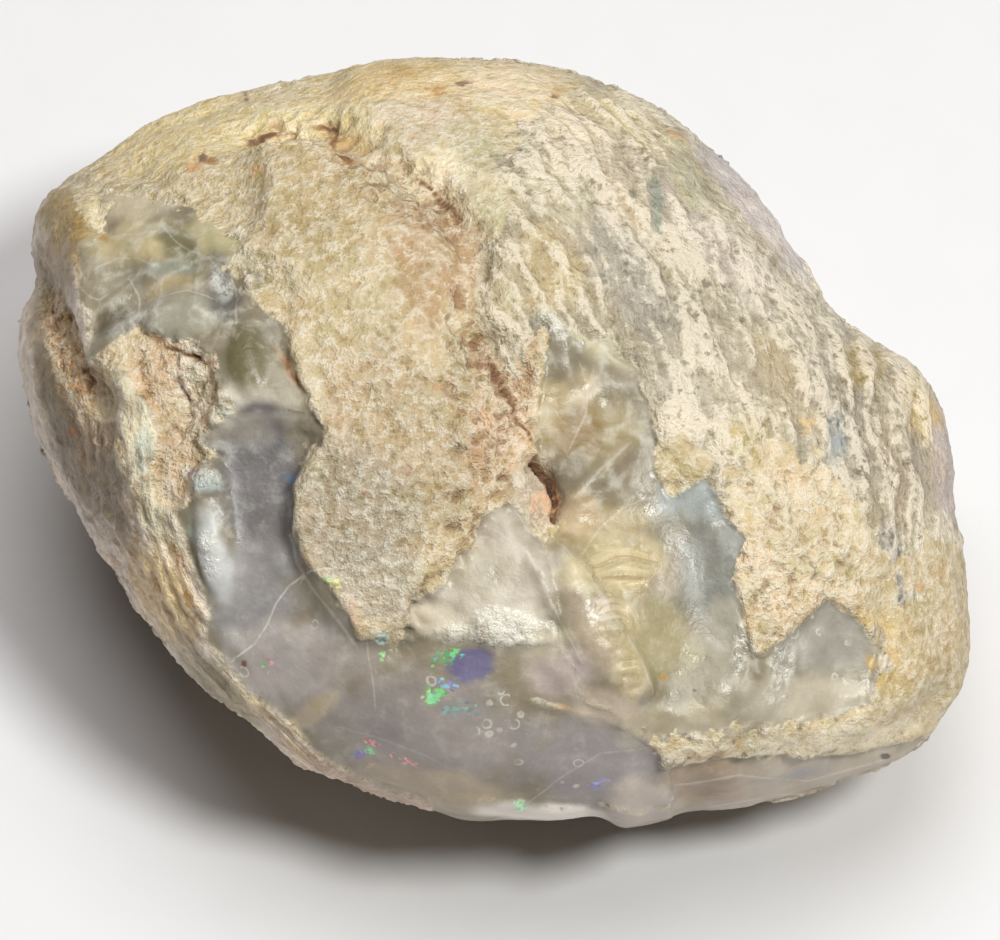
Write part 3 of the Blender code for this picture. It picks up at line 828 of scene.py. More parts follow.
# crumpled, polished spots in the opal, whose colour is also drawn toward near white there as
# painted glints
polishedGlintSpots = {
    "creamFoot": (0.5, -8.9, 1.7, 0.8, -4, 1.0),
    "creamTail": (-1.6, -9.2, 1.2, 0.5, 0, 0.7),
    "bowlEdge": (11.6, -9.6, 0.45, 1.5, -14, 1.0),
    "veinSparks": (13.3, -11.0, 0.55, 1.6, -12, 0.9),
    "glintStreak": (3.0, 5.0, 1.5, 0.35, -38, 1.0),
    "umboSpark": (-12.6, 7.0, 0.5, 0.8, 0, 0.6),
    "umboChips": (-16.6, 5.6, 1.3, 1.8, 30, 0.3),
    "tongueHigh": (-13.3, -2.2, 0.7, 0.5, 20, 1.0),
    "tongueLow": (-13.1, -5.6, 0.4, 1.2, 10, 1.0),
    "crossing": (7.2, -3.0, 0.9, 1.1, -20, 0.35),
    "fanFoot": (5.2, -8.2, 0.7, 1.4, 30, 0.3),
}


def nearestHair(places):
    # across, away and strength of the nearest fine line
    farAway = 9.0
    hair = np.tile((farAway, farAway, 0.0), (len(places.u), 1))
    for name, strength in hairLines.items():
        side = sideDistance(places.u, places.v, faceLines[name])
        closer = np.abs(side) < hair[:, 1]
        nearer = np.stack((side, np.abs(side), np.full(len(side), strength)), axis=1)
        hair[closer] = nearer[closer]
    return hair


def crackShadeDepth(places, ragged):
    least, more = edgeWander["crackGaps"]
    gaps = np.clip(least + more * jitter(places, "crackGaps"), 0.0, 1.0)
    crackShade = np.zeros(len(places.u))
    for name, (halfWidth, depth) in crackShadeLines.items():
        away = lineDistance(places.u, places.v, faceLines[name]) + edgeWander["cracks"] * ragged
        near = bell(away, halfWidth) * depth
        crackShade = np.maximum(crackShade, near * (1.0 if name == "deepSlit" else gaps))
    return crackShade * places.front


def chalkLeft(places, age, along, wobble):
    streak = np.zeros(len(places.u))
    for width, length, seed, share in growthRings["streaks"]:
        streak += share * stretchedNoise(age, along, width, length, seed)
    chalk = addedClouds(places, chalkCover["base"], chalkCover["clouds"], wobble)
    return chalk + chalkCover["streaks"] * streak, streak


def layerStack(places, ragged, rings, fans):
    # the shell's layers seen edge on: place in the stack, how clearly they show, and the fan
    u, v = places.u, places.v
    side = sideDistance(u, v, faceLines["flankEdge"])
    layered = falling(u, *rings["layerEast"]) * falling(v, *rings["layerNorth"])
    layered *= falling(np.abs(side), *rings["layerReach"])
    fan = strongestCloud(places, fans["clouds"], edgeWander["fan"] * ragged)
    climb = v - fans["climb"] * (u - fans["climbFrom"])
    fanLayer = (climb + fans["arch"] * (u - fans["archMiddle"]) ** 2) * fans["spacing"]
    fanLayer += fans["wander"] * jitter(places, "fanWander")
    layer = side + rings["layerWander"] * jitter(places, "layerWander")
    layer = layer + fan * (fanLayer - layer)
    return layer, np.maximum(layered * places.front, fan), fan


def pitDepth(places, ragged, grit, sandEdge, values):
    loose = rising(jitter(places, "loosePits") + values["gritHelp"] * grit, *values["looseLevel"])
    loose *= rising(grit, *values["gritLevel"]) * crossing(sandEdge, values["sandEdge"])
    near = np.zeros(len(places.u))
    for name, (rough, halfWidth) in values["edges"].items():
        away = lineDistance(places.u, places.v, faceLines[name]) + rough * ragged
        near = np.maximum(near, bell(away, halfWidth))
    near *= places.front
    return np.maximum(loose, near * rising(jitter(places, "edgePits"), *values["edgeLevel"]))


def surfaceMarks(places):
    # everything the finish needs to know at each point of the skin
    age, along = growthPlaces(places, growthRings)
    ragged = raggedNoise(places)
    wander = edgeWander
    wobble = wander["covers"] * jitter(places, "coverEdge")
    frayed = wander["wide"] * jitter(places, "frayWide")
    frayed += wander["fine"] * jitter(places, "frayFine")
    frayed += wander["ragged"] * ragged
    fray = strongestCloud(places, frayedEdges)
    fray = np.maximum(fray, wander["backFray"] * (1.0 - places.front) ** 2)
    sandEdge = bothSides(places, sandPatches, backSandPatches)
    sandEdge += wander["sandRagged"] * ragged + fray * frayed
    glassEdge = bothSides(places, glassPatches, backGlassPatches)
    glassEdge += wander["glassRagged"] * ragged + wander["glassShare"] * fray * frayed
    layer, layered, fan = layerStack(places, ragged, growthRings, ribFans)
    chalk, streak = chalkLeft(places, age, along, wobble)
    backChips = chippedGlass["back"] * (1.0 - places.front)
    chipped = addedClouds(places, backChips, chippedGlass["clouds"])
    bowls, ridgeAway = scallops(places, *skinRises["bowls"])
    ridgeAway = ridgeAway + chippedGlass["ridgeRagged"] * ragged
    grit = addedClouds(places, gritCover["base"], gritCover["clouds"], wobble)
    grit = np.clip(grit, 0.0, gritCover["most"])
    crest = sum(share * crests(jitter(places, kind), skinRises["crestSharp"])
                for kind, share in skinRises["crestShares"].items())
    return {
        "bowls": bowls,
        "ridge": np.clip(chipped, 0.0, 1.0) * ease(1.0 - ridgeAway / chippedGlass["ridgeWidth"]),
        "grit": grit,
        "pits": pitDepth(places, ragged, grit, sandEdge, sandPits),
        "crest": crest,
        "streak": streak,
        "age": age,
        "along": along,
        "layer": layer,
        "layered": layered,
        "fan": fan,
        "polish": strongestCloud(places, polishedGlintSpots, wander["polish"] * ragged),
        "chalk": chalk,
        "chipped": chipped,
        "sandEdge": sandEdge,
        "glassEdge": glassEdge,
        "flankEdge": bothSides(places, flankPatches, None),
        "crackShade": crackShadeDepth(places, ragged),
        "hair": nearestHair(places),
        "bubbles": strongestCloud(places, bubbleMarks),
    }


# Stains and clouds of colour, laid over each finish: u, v, half length, half width, turn,
# colour and share.
sandTones = {
    "base": (208, 188, 151),
    "low": (0.9, 0.9, 0.82),
    "high": (1.04, 0.98, 0.93),
    "seed": 41.0,
    "clouds": {
        "umboGold": (-15.0, 14.8, 4.29, 1.62, 20, (239, 214, 155), 0.8),
        "topPale": (-9.3, 15.8, 5.24, 1.43, 12, (241, 219, 168), 0.7),
        "fissureOlive": (-7.8, 15.3, 2.86, 0.86, -20, (241, 223, 170), 0.6),
        "plateTan": (-7.8, 10.8, 3.81, 2.38, 0, (196, 170, 128), 0.7),
        "plateOlive": (-9.3, 9.8, 2.14, 1.14, 10, (185, 163, 121), 0.7),
        "upperPink": (-2.6, 9.1, 2.38, 3.81, 0, (190, 159, 124), 0.8),
        "marginPink": (0.5, 0.5, 1.71, 4.29, -10, (236, 206, 174), 0.8),
        "lobePink": (2.1, -2.8, 1.24, 1.52, 0, (193, 174, 154), 0.9),
        "plateMiddle": (-5.0, -0.4, 3.81, 5.24, 0, (196, 173, 142), 0.6),
        "plateGrey": (-6.9, -3.7, 3.33, 3.81, 0, (178, 164, 143), 0.9),
        "plateFoot": (-5.5, -7.1, 2.38, 1.9, 0, (191, 179, 161), 0.8),
        # the next cloud is the recess's pink, painted paler to lift the shade inside the recess
        "recessPink": (-14.5, 2.9, 2.62, 3.33, 0, (220, 190, 156), 0.9),
        "recessLow": (-14.8, -1.6, 1.24, 2.38, 0, (219, 193, 163), 0.8),
        "recessSide": (-14.0, 2.4, 0.95, 2.19, 0, (245, 231, 211), 0.9),
        "hingeBrown": (-19.7, 4.6, 1.9, 3.33, 0, (207, 170, 128), 0.9),
        "crustWarm": (14.1, -4.9, 3.81, 3.81, 0, (245, 226, 197), 0.8),
        "crustGold": (18.4, -9.9, 1.9, 1.9, 0, (228, 191, 114), 0.7),
        "marginWarm": (20.5, -8.5, 2.38, 3.81, 0, (197, 176, 139), 0.7),
        "creaseGold": (13.1, -14.5, 7.14, 0.76, 8, (245, 232, 206), 0.8),
        "seamCream": (-18.6, 10.6, 0.86, 1.62, 0, (226, 210, 173), 1.0),
        "topGold": (-4.5, 17.0, 3.81, 1.24, 0, (235, 204, 144), 0.8),
        "topYellow": (-3.1, 14.8, 2.38, 1.24, -20, (229, 208, 185), 0.7),
        "topCream": (1.2, 16.3, 3.33, 1.62, -15, (245, 221, 184), 0.8),
        "topRidge": (-0.7, 12.5, 1.62, 2.86, 20, (201, 190, 158), 0.8),
        "topOlive": (0.3, 10.8, 1.14, 1.43, 0, (213, 203, 165), 0.5),
        "umboFray": (-11.3, 7.7, 1.05, 1.14, 0, (166, 153, 117), 0.7),
        "marginTop": (0.1, 5.9, 0.95, 2.38, -8, (178, 143, 105), 0.8),
        "crackShoulder": (-2.6, 12.4, 1.33, 1.14, 0, (245, 228, 193), 0.8),
        "plateEdge": (-8.4, 0.8, 0.57, 1.9, 0, (232, 217, 192), 0.8),
        "recessUp": (-15.0, 0.1, 0.95, 1.43, 0, (203, 178, 140), 0.6),
    },
}
glassTones = {
    "base": (143, 132, 111),
    "low": (0.84, 0.85, 0.86),
    "high": (1.1, 1.1, 1.1),
    "seed": 45.0,
    "clouds": {
        "umboLilac": (-16.6, 11.3, 1.9, 1.14, 0, (198, 184, 157), 1.0),
        "umboOlive": (-16.9, 9.1, 2.19, 1.14, 8, (205, 187, 144), 0.8),
        "umboLower": (-17.6, 6.5, 1.71, 2.1, 0, (156, 145, 123), 0.9),
        "umboFoot": (-17.4, 5.1, 1.14, 0.86, 0, (103, 92, 75), 0.9),
        "umboGreen": (-12.8, 9.8, 1.43, 1.62, -20, (189, 178, 138), 0.9),
        "umboBlue": (-14.5, 8.5, 0.76, 1.71, 38, (126, 118, 89), 1.0),
        "umboBlueLow": (-15.0, 7.7, 1.24, 0.48, 0, (154, 154, 140), 0.8),
        "umboBrown": (-15.0, 6.7, 1.43, 0.67, 10, (181, 160, 120), 0.7),
        "umboOval": (-14.2, 5.6, 2.1, 1.14, 8, (163, 157, 139), 1.0),
        "darkSpark": (-12.5, 6.7, 0.76, 1.81, 10, (117, 113, 106), 1.0),
        "oliveLump": (-11.3, 3.5, 0.95, 1.81, 8, (117, 108, 78), 1.0),
        "tonguePale": (-11.4, 1.1, 2.38, 1.14, 0, (210, 200, 183), 0.8),
        "tongueGrey": (-10.9, -2.3, 2.1, 3.81, 0, (116, 111, 111), 1.0),
        "tongueLow": (-11.1, -7.5, 2.19, 2.86, 0, (155, 150, 148), 1.0),
        "tongueSide": (-12.8, -5.6, 0.67, 2.19, 12, (198, 197, 195), 1.0),
        "opalLeft": (-9.3, -10.6, 2.86, 2.1, 0, (188, 178, 173), 0.9),
        "opalMiddle": (-3.1, -13.7, 5.24, 2.86, -8, (160, 150, 144), 1.0),
        "opalRight": (5.0, -15.2, 3.33, 2.38, -10, (156, 148, 147), 1.0),
        "opalPlum": (3.1, -10.9, 1.62, 1.33, 0, (195, 178, 172), 0.8),
        "opalFoot": (-2.1, -16.6, 4.29, 1.05, -14, (184, 166, 141), 0.8),
        "oliveFoot": (-8.4, -12.9, 0.48, 1.43, -50, (189, 172, 144), 0.9),
        "creamFacet": (0.3, -6.8, 2.95, 2.86, 0, (192, 180, 164), 1.0),
        "creamGlow": (-0.7, -6.1, 1.71, 1.43, 0, (170, 158, 135), 0.8),
        "creamGrey": (1.2, -8.6, 1.62, 0.95, 0, (212, 202, 185), 0.7),
        "bowlFoot": (9.8, -13.6, 1.52, 0.67, 0, (234, 221, 202), 0.8),
        "oliveTop": (3.1, 6.7, 2.38, 1.43, -30, (201, 186, 142), 0.8),
        "oliveUpper": (5.0, 4.8, 2.38, 1.14, -30, (220, 207, 171), 0.7),
        "oliveBowl": (5.3, 0.1, 1.71, 1.9, 0, (169, 153, 119), 0.9),
        "oliveCleft": (2.4, 1.0, 1.14, 1.71, 0, (173, 152, 109), 0.8),
        "greyCross": (6.9, -2.1, 1.43, 1.52, 0, (150, 137, 120), 0.8),
        "oliveLow": (4.5, -4.2, 2.38, 1.05, 12, (166, 147, 106), 0.9),
        "oliveFan": (5.7, -6.2, 2.38, 1.24, 8, (218, 203, 163), 0.9),
        "oliveDeep": (7.4, -9.5, 2.1, 2.29, 0, (160, 148, 114), 1.0),
        "oliveEdge": (8.8, -13.3, 3.33, 1.05, 0, (180, 167, 141), 0.8),
        "bowlGrey": (10.3, -6.1, 1.9, 2.95, 0, (137, 135, 127), 1.0),
        "bowlBlue": (9.3, -3.0, 1.62, 0.95, 0, (154, 160, 158), 0.9),
        "bandPlum": (4.8, -9.5, 0.76, 2.86, 34, (176, 159, 138), 0.8),
        "windowGrey": (15.5, -9.5, 2.38, 1.9, 0, (163, 157, 146), 1.0),
        "windowLow": (14.5, -12.3, 3.81, 1.24, 0, (189, 178, 158), 0.9),
        "stripPlum": (14.5, -16.1, 6.19, 1.43, 12, (185, 172, 155), 1.0),
        "stripBrown": (9.8, -16.1, 1.9, 1.24, 0, (170, 146, 120), 0.9),
        # the next cloud is a whitish ledge, painted paler still to lift the shade on the ledge's
        # shadow side
        "ledgePale": (2.2, -17.6, 3.14, 0.48, -3, (245, 235, 224), 0.95),
        "lipPink": (6.9, -17.1, 1.71, 1.24, 0, (186, 173, 162), 1.0),
        "bandFoot": (5.0, -12.4, 1.71, 0.86, -8, (204, 187, 167), 0.8),
        "cleftDark": (4.1, 0.1, 1.05, 1.14, 0, (142, 116, 78), 0.8),
        "cleftGlow": (4.1, -3.7, 1.05, 1.05, 0, (206, 178, 141), 0.7),
        # the next cloud is painted paler to lift the shade between the sandy plate and the facet's
        # foot
        "facetTail": (-2.5, -8.6, 1.24, 0.76, 0, (228, 213, 190), 0.8),
        "plateGlass": (-6.6, -10.5, 1.71, 1.14, 0, (177, 165, 156), 0.8),
        "bowlLow": (10.8, -8.7, 0.95, 1.33, 0, (177, 170, 154), 0.7),
        "cleftTop": (4.1, 2.2, 0.86, 0.76, 0, (201, 180, 146), 0.6),
        "footGrey": (2.3, -9.5, 1.24, 0.86, 0, (199, 188, 165), 0.8),
        "tongueFoot": (-11.1, 0.1, 1.05, 0.76, 0, (181, 172, 158), 0.4),
        "umboGlass": (-11.3, 7.8, 0.95, 1.05, 0, (163, 147, 111), 0.7),
    },
}
grownTones = {
    "base": (177, 166, 144),
    "low": (0.84, 0.85, 0.88),
    "high": (1.08, 1.05, 0.98),
    "seed": 49.0,
    "clouds": {
        "topGold": (-6.4, 16.8, 8.1, 1.62, -4, (224, 203, 150), 0.9),
        "topCream": (3.1, 15.8, 4.29, 1.9, -15, (222, 207, 171), 0.8),
        "topEdge": (6.9, 14.8, 3.33, 0.86, -35, (214, 197, 150), 0.8),
        "creamRidge": (-0.7, 12.0, 3.33, 1.24, -45, (220, 205, 167), 0.7),
        "oliveShoulder": (2.4, 7.9, 2.1, 2.86, -35, (224, 201, 152), 0.6),
        "oliveHint": (0.3, 10.8, 1.43, 1.14, 0, (206, 191, 148), 0.5),
        "greyWindow": (-0.4, 13.9, 0.67, 1.9, 40, (163, 157, 132), 0.9),
        "greyWindowB": (-3.5, 14.4, 0.57, 1.71, 5, (187, 179, 163), 0.8),
        "greySweep": (6.2, 7.5, 5.71, 1.43, -52, (176, 169, 159), 0.9),
        "greyUpper": (5.5, 12.5, 4.29, 1.62, -50, (215, 198, 175), 0.8),
        "mauveBand": (10.7, 8.6, 4.29, 1.05, -50, (211, 198, 189), 0.8),
        "oliveRight": (12.7, 2.7, 2.86, 2.1, -35, (194, 179, 150), 1.0),
        "oliveSpot": (11.5, 0.1, 1.33, 1.14, 0, (197, 181, 127), 0.8),
        "greyRight": (16.9, 1.0, 5.24, 1.71, -60, (170, 158, 142), 0.9),
        "greyMargin": (19.5, -2.8, 4.29, 1.14, -70, (180, 164, 142), 0.8),
        "greyCrumb": (18.4, -6.6, 1.05, 2.1, 0, (132, 131, 138), 0.9),
        "creamMargin": (20.7, -5.6, 1.24, 4.29, 0, (198, 187, 164), 0.8),
        "goldRim": (20.5, 1.0, 0.95, 2.38, 30, (218, 191, 130), 0.8),
        "oliveRim": (17.6, 3.4, 1.14, 1.24, 0, (183, 161, 107), 0.8),
        "creamPatch": (9.8, 2.0, 2.38, 2.86, -50, (221, 211, 193), 0.6),
        "edgePlum": (12.3, 11.3, 3.81, 0.95, -52, (217, 207, 208), 1.0),
        "sidePlum": (21.7, -0.9, 1.14, 3.14, 0, (213, 198, 193), 1.0),
        "greenPane": (9.3, 12.0, 0.67, 1.9, 20, (200, 194, 167), 1.0),
        "marginGrey": (0.2, 5.8, 1.14, 4.29, -8, (195, 183, 157), 0.8),
        "shoulderCream": (3.1, 11.5, 2.19, 1.24, -45, (222, 210, 179), 0.7),
        "rimMauve": (14.2, 8.5, 1.9, 0.67, -50, (232, 222, 220), 0.8),
        "umboUnder": (-14.5, 12.0, 6.19, 3.33, 0, (212, 195, 155), 1.0),
        "darkPane": (7.7, 10.8, 0.38, 1.62, 0, (160, 165, 152), 1.0),
        "bluePane": (16.0, -0.2, 0.62, 1.33, 0, (139, 145, 153), 0.9),
    },
}
flankTones = {
    "base": (235, 220, 205),
    "low": (0.85, 0.84, 0.82),
    "high": (1.12, 1.1, 1.04),
    "seed": 53.0,
    "clouds": {
        "lobeOlive": (-20.2, 10.8, 1.62, 2.38, 0, (170, 145, 93), 0.9),
        "lobeGold": (-19.4, 9.4, 0.67, 2.38, 0, (171, 140, 83), 0.8),
        "lobeGrey": (-20.9, 7.7, 1.43, 1.9, 0, (175, 152, 118), 0.8),
        "sideGrey": (-18.8, -0.6, 1.71, 5.24, 25, (148, 128, 104), 0.9),
        "layersOlive": (-16.0, -1.4, 1.14, 5.24, 12, (203, 195, 170), 0.9),
        "layersCream": (-16.8, 0.1, 0.48, 4.29, 8, (209, 197, 172), 0.8),
        "pearlStrip": (-16.2, -0.6, 0.43, 1.43, 0, (188, 196, 188), 0.6),
        "layersFoot": (-15.2, -7.5, 1.43, 2.86, 28, (228, 202, 158), 0.9),
        "rimOlive": (-12.5, -11.8, 0.95, 2.86, 50, (178, 166, 136), 0.9),
        "rimCream": (-8.8, -13.3, 2.86, 1.05, -25, (220, 201, 173), 0.8),
        "rimPink": (-4.5, -16.6, 5.71, 1.24, -20, (215, 192, 171), 0.9),
        "rimWhite": (-12.6, -9.5, 0.48, 1.9, 40, (213, 198, 175), 0.8),
        "ribFan": (5.7, -6.2, 2.95, 2.0, 0, (175, 159, 126), 1.0),
        # the next cloud is a whitish ledge, painted paler still to lift the shade on the ledge's
        # shadow side
        "ledgeWhite": (2.2, -17.6, 4.29, 0.67, -4, (245, 236, 224), 0.9),
        "rimShade": (-20.7, 2.0, 0.67, 4.76, 15, (139, 119, 88), 0.8),
        "ribFoot": (6.0, -10.2, 1.9, 2.76, -15, (189, 174, 139), 1.0),
    },
}
rustStains = {
    "dotDark": (-13.9, 13.7, 0.24, 0.24, 0, (92, 44, 16), 1.3),
    "dotGold": (-13.4, 13.5, 0.38, 0.29, 0, (150, 98, 34), 1.2),
    "dotPink": (-14.3, 13.2, 0.57, 0.38, 20, (214, 158, 108), 1.0),
    "topDot": (-12.0, 16.6, 0.14, 0.1, 0, (90, 70, 50), 0.9),
    "fissureRust": (-7.1, 14.5, 1.81, 0.43, -24, (184, 134, 66), 0.8),
    "fissureDeep": (-6.3, 13.4, 1.05, 0.24, -30, (176, 118, 66), 0.7),
    "topRust": (-4.5, 17.4, 1.43, 0.52, -6, (206, 160, 84), 0.75),
    "topRustB": (-2.6, 16.4, 0.57, 0.43, -30, (196, 140, 74), 0.8),
    # the top and ridge pit spots are dark spots painted as the shade in small pits, which the
    # surface has no cut for
    "topPitShade": (-1.4, 16.8, 0.38, 0.14, 5, (112, 66, 28), 1.2),
    "ridgeRust": (3.0, 16.5, 0.57, 0.38, 0, (206, 158, 88), 0.7),
    "ridgePitShade": (2.9, 16.1, 0.24, 0.14, 0, (112, 60, 30), 1.2),
    "edgeRust": (8.8, 14.3, 0.86, 0.24, -35, (204, 150, 92), 0.9),
    "marginRust": (1.9, 4.1, 0.38, 0.62, -20, (214, 160, 112), 0.65),
    "marginGlow": (1.3, 3.3, 0.67, 0.86, 0, (226, 182, 142), 0.5),
    "slitGlow": (2.5, -3.0, 0.76, 0.86, 0, (230, 176, 132), 0.8),
    "pebble": (-0.6, -0.9, 0.81, 0.57, 10, (194, 148, 102), 0.95),
    "pebbleEdge": (-0.1, -1.0, 0.24, 0.43, 0, (120, 66, 30), 0.9),
    "plateRust": (-5.9, -2.6, 0.24, 0.14, 10, (178, 112, 66), 0.8),
    "plateRustB": (-2.4, 2.5, 0.57, 0.38, 0, (206, 156, 110), 0.8),
    "plateRustC": (-3.7, 5.3, 0.57, 0.33, 0, (214, 172, 118), 0.7),
    "umboRust": (-11.5, 12.8, 0.48, 0.43, 0, (214, 162, 96), 0.8),
    "umboRustB": (-15.7, 12.0, 0.43, 0.29, 0, (182, 148, 90), 0.9),
    "cleftRust": (-18.4, 9.6, 0.33, 0.57, 30, (176, 132, 50), 1.0),
    "lobeRust": (-20.2, 10.6, 0.48, 0.57, 0, (176, 150, 104), 0.7),
    "sideSpot": (14.7, 0.5, 0.38, 0.57, 0, (238, 196, 136), 0.85),
    "glassGold": (8.3, -1.5, 1.14, 0.71, 10, (214, 196, 150), 0.4),
    "goldSpot": (11.2, 0.2, 0.48, 0.33, 0, (206, 170, 92), 0.9),
    "crustGold": (18.4, -9.1, 1.14, 0.86, 0, (220, 188, 126), 0.6),
    "crustGoldB": (17.7, -10.6, 0.33, 0.57, 15, (208, 164, 66), 0.9),
    "crustRust": (20.0, -7.1, 0.29, 0.29, 0, (210, 160, 104), 0.8),
    "rimRust": (21.1, 1.0, 0.48, 1.14, 25, (216, 180, 112), 0.8),
    "goldStreak": (11.9, -3.8, 0.29, 0.86, 0, (206, 178, 104), 0.8),
    "creaseRust": (10.0, -14.6, 1.24, 0.19, 6, (198, 150, 92), 0.9),
    "creaseRustB": (11.3, -14.1, 0.38, 0.38, 0, (204, 160, 96), 0.8),
    "ledgeRust": (3.2, -12.5, 0.67, 0.19, -12, (214, 178, 132), 0.8),
    "glassDot": (7.9, -11.2, 0.24, 0.19, 0, (176, 130, 34), 1.2),
    "darkDot": (9.4, -11.8, 0.12, 0.12, 0, (70, 54, 36), 1.4),
    # the hole spots are dark spots painted as the shade inside small holes, which the surface has
    # no cut for
    "holeShadeA": (10.0, 7.1, 0.29, 0.19, -30, (104, 92, 76), 1.1),
    "holeShadeB": (19.5, -1.3, 0.29, 0.19, 20, (110, 82, 50), 1.0),
    "holeShadeC": (18.5, -15.1, 0.29, 0.14, 0, (44, 34, 28), 1.3),
    "holeShadeD": (6.6, 11.4, 0.29, 0.38, 0, (110, 104, 88), 1.0),
    "redDot": (-11.5, -10.6, 0.19, 0.19, 0, (96, 36, 30), 1.3),
    "flakeRust": (-6.5, -8.5, 0.38, 0.95, 12, (216, 176, 146), 0.8),
    "layerRust": (-14.6, -5.6, 0.24, 1.24, 24, (172, 118, 62), 0.9),
    "layerRustB": (-14.0, -7.5, 0.29, 0.86, 24, (176, 128, 64), 0.9),
    "layerFootA": (-13.7, -8.5, 0.38, 0.38, 0, (160, 110, 70), 0.9),
    "flankSpotA": (-19.8, 0.2, 0.29, 0.57, -20, (150, 104, 70), 0.8),
    "flankSpotB": (-20.3, -0.5, 0.29, 0.67, -15, (124, 92, 66), 0.9),
    "flankSpotC": (-20.0, -1.9, 0.24, 0.24, 0, (116, 72, 48), 1.0),
    "lowerOlive": (-8.2, -12.5, 0.33, 0.95, 30, (160, 140, 96), 0.75),
    "violetPatch": (-1.0, -10.6, 1.1, 0.76, 15, (98, 94, 142), 1.6),
    "blueSide": (16.0, -0.3, 0.48, 1.14, 10, (150, 162, 170), 0.7),
    "blueBowl": (9.4, -3.1, 0.86, 0.48, 0, (160, 168, 174), 0.15),
    "pearlTeal": (-13.1, -2.4, 0.76, 0.57, 0, (184, 202, 202), 0.75),
    "pearlGreen": (-13.8, -4.5, 0.48, 1.24, 10, (166, 192, 180), 0.7),
    "pearlSide": (-15.9, -1.0, 0.29, 1.05, -5, (182, 198, 200), 0.3),
    "pearlLow": (-15.0, -3.7, 0.38, 1.14, -10, (196, 198, 204), 0.6),
    "blueStrip": (14.5, -15.8, 2.1, 0.43, 12, (150, 150, 166), 0.7),
    "tealWing": (-12.3, 1.0, 0.76, 0.48, 0, (176, 188, 180), 0.6),
    "blueTongue": (-9.4, -2.0, 0.43, 0.38, 0, (96, 118, 150), 0.9),
    "greenTongue": (-9.3, -3.0, 0.38, 1.43, 0, (132, 140, 132), 0.6),
}
colourFlashes = {
    "violetRim": (-1.7, -11.5, 0.43, 0.33, 18, (96, 128, 196), 0.95),
    "greenUpper": (-2.1, -10.2, 1.0, 0.38, 22, (52, 196, 126), 1.0),
    "greenLower": (-2.5, -11.9, 0.57, 0.38, -25, (70, 206, 120), 1.0),
    "greenSide": (-2.9, -12.0, 0.38, 0.52, 0, (96, 214, 110), 0.9),
    "blueMiddle": (-2.2, -11.4, 0.52, 0.29, 0, (92, 140, 214), 1.0),
    "tealTrail": (-1.5, -12.7, 1.05, 0.57, 10, (104, 158, 162), 0.75),
    "tealBead": (-5.1, -9.5, 0.43, 0.33, 0, (168, 202, 198), 1.2),
    "spectrumBlue": (-6.1, -14.8, 0.29, 0.29, 30, (84, 104, 206), 1.3),
    "spectrumGreen": (-5.7, -14.6, 0.33, 0.24, 5, (110, 222, 108), 1.4),
    "spectrumRed": (-5.6, -14.2, 0.43, 0.19, -25, (226, 128, 104), 1.1),
    "redStreak": (-4.1, -15.0, 0.86, 0.19, -22, (224, 140, 122), 0.95),
    "redStreakLow": (-5.8, -15.3, 0.38, 0.19, 20, (200, 130, 120), 0.7),
    "greenFoot": (1.3, -17.2, 0.29, 0.24, 0, (138, 220, 158), 1.3),
    "violetFoot": (5.0, -16.1, 0.52, 0.24, 16, (122, 112, 214), 1.1),
    "limePlate": (-7.5, -6.8, 0.67, 0.29, -10, (178, 214, 118), 0.9),
    "beadGreen": (-10.6, -10.6, 0.19, 0.19, 0, (120, 206, 150), 1.1),
    "beadRed": (-10.3, -10.5, 0.19, 0.19, 0, (226, 126, 112), 1.1),
    "beadGreenB": (-5.1, -10.2, 0.14, 0.24, 0, (90, 190, 120), 1.0),
    "pearlViolet": (-13.7, -1.8, 0.29, 0.19, 0, (118, 128, 204), 1.1),
}


# darker and lighter patches in every tone, each with seeds of its own: size and strength
tonePatches = ((2.6, 1.4), (1.1, 0.8))
spotFade = 0.9  # how fast a small spot fades outward


def cloudTones(places, tones):
    colour = np.tile(linearColour(*tones["base"]), (len(places.u), 1))
    wide, fine = edgeWander["tones"]
    wobble = wide * jitter(places, "toneEdge") + fine * jitter(places, "toneEdgeFine")
    for cloud in tones["clouds"].values():
        weight = cloud[6] * cloudWeight(places, cloud, wobble)
        colour += weight[:, None] * (np.array(linearColour(*cloud[5])) - colour)
    patchy = sum(strength * softNoise(places.points, size, tones["seed"] + step)
                 for step, (size, strength) in enumerate(tonePatches))
    for side, tint in ((-1.0, tones["low"]), (1.0, tones["high"])):
        colour *= 1.0 + np.clip(side * patchy, 0.0, 1.0)[:, None] * (np.array(tint) - 1.0)
    return colour


def spotTones(places, spots):
    # small spots keep their own colour, and their share says how strongly they show
    share = np.zeros(len(places.u))
    colour = np.zeros((len(places.u), 3))
    for spot in spots.values():
        weight = spot[6] * np.exp(-spotFade * cloudReach(places, spot) ** 2) * places.front
        stronger = weight > share
        share = np.where(stronger, weight, share)
        colour = np.where(stronger[:, None], np.array(linearColour(*spot[5])), colour)
    return colour, share


def storeMark(mesh, name, values):
    kind = "FLOAT" if values.ndim == 1 else "FLOAT_VECTOR"
    attribute = mesh.attributes.new(name, kind, "POINT")
    field = "value" if values.ndim == 1 else "vector"
    attribute.data.foreach_set(field, values.astype(np.float32).ravel())


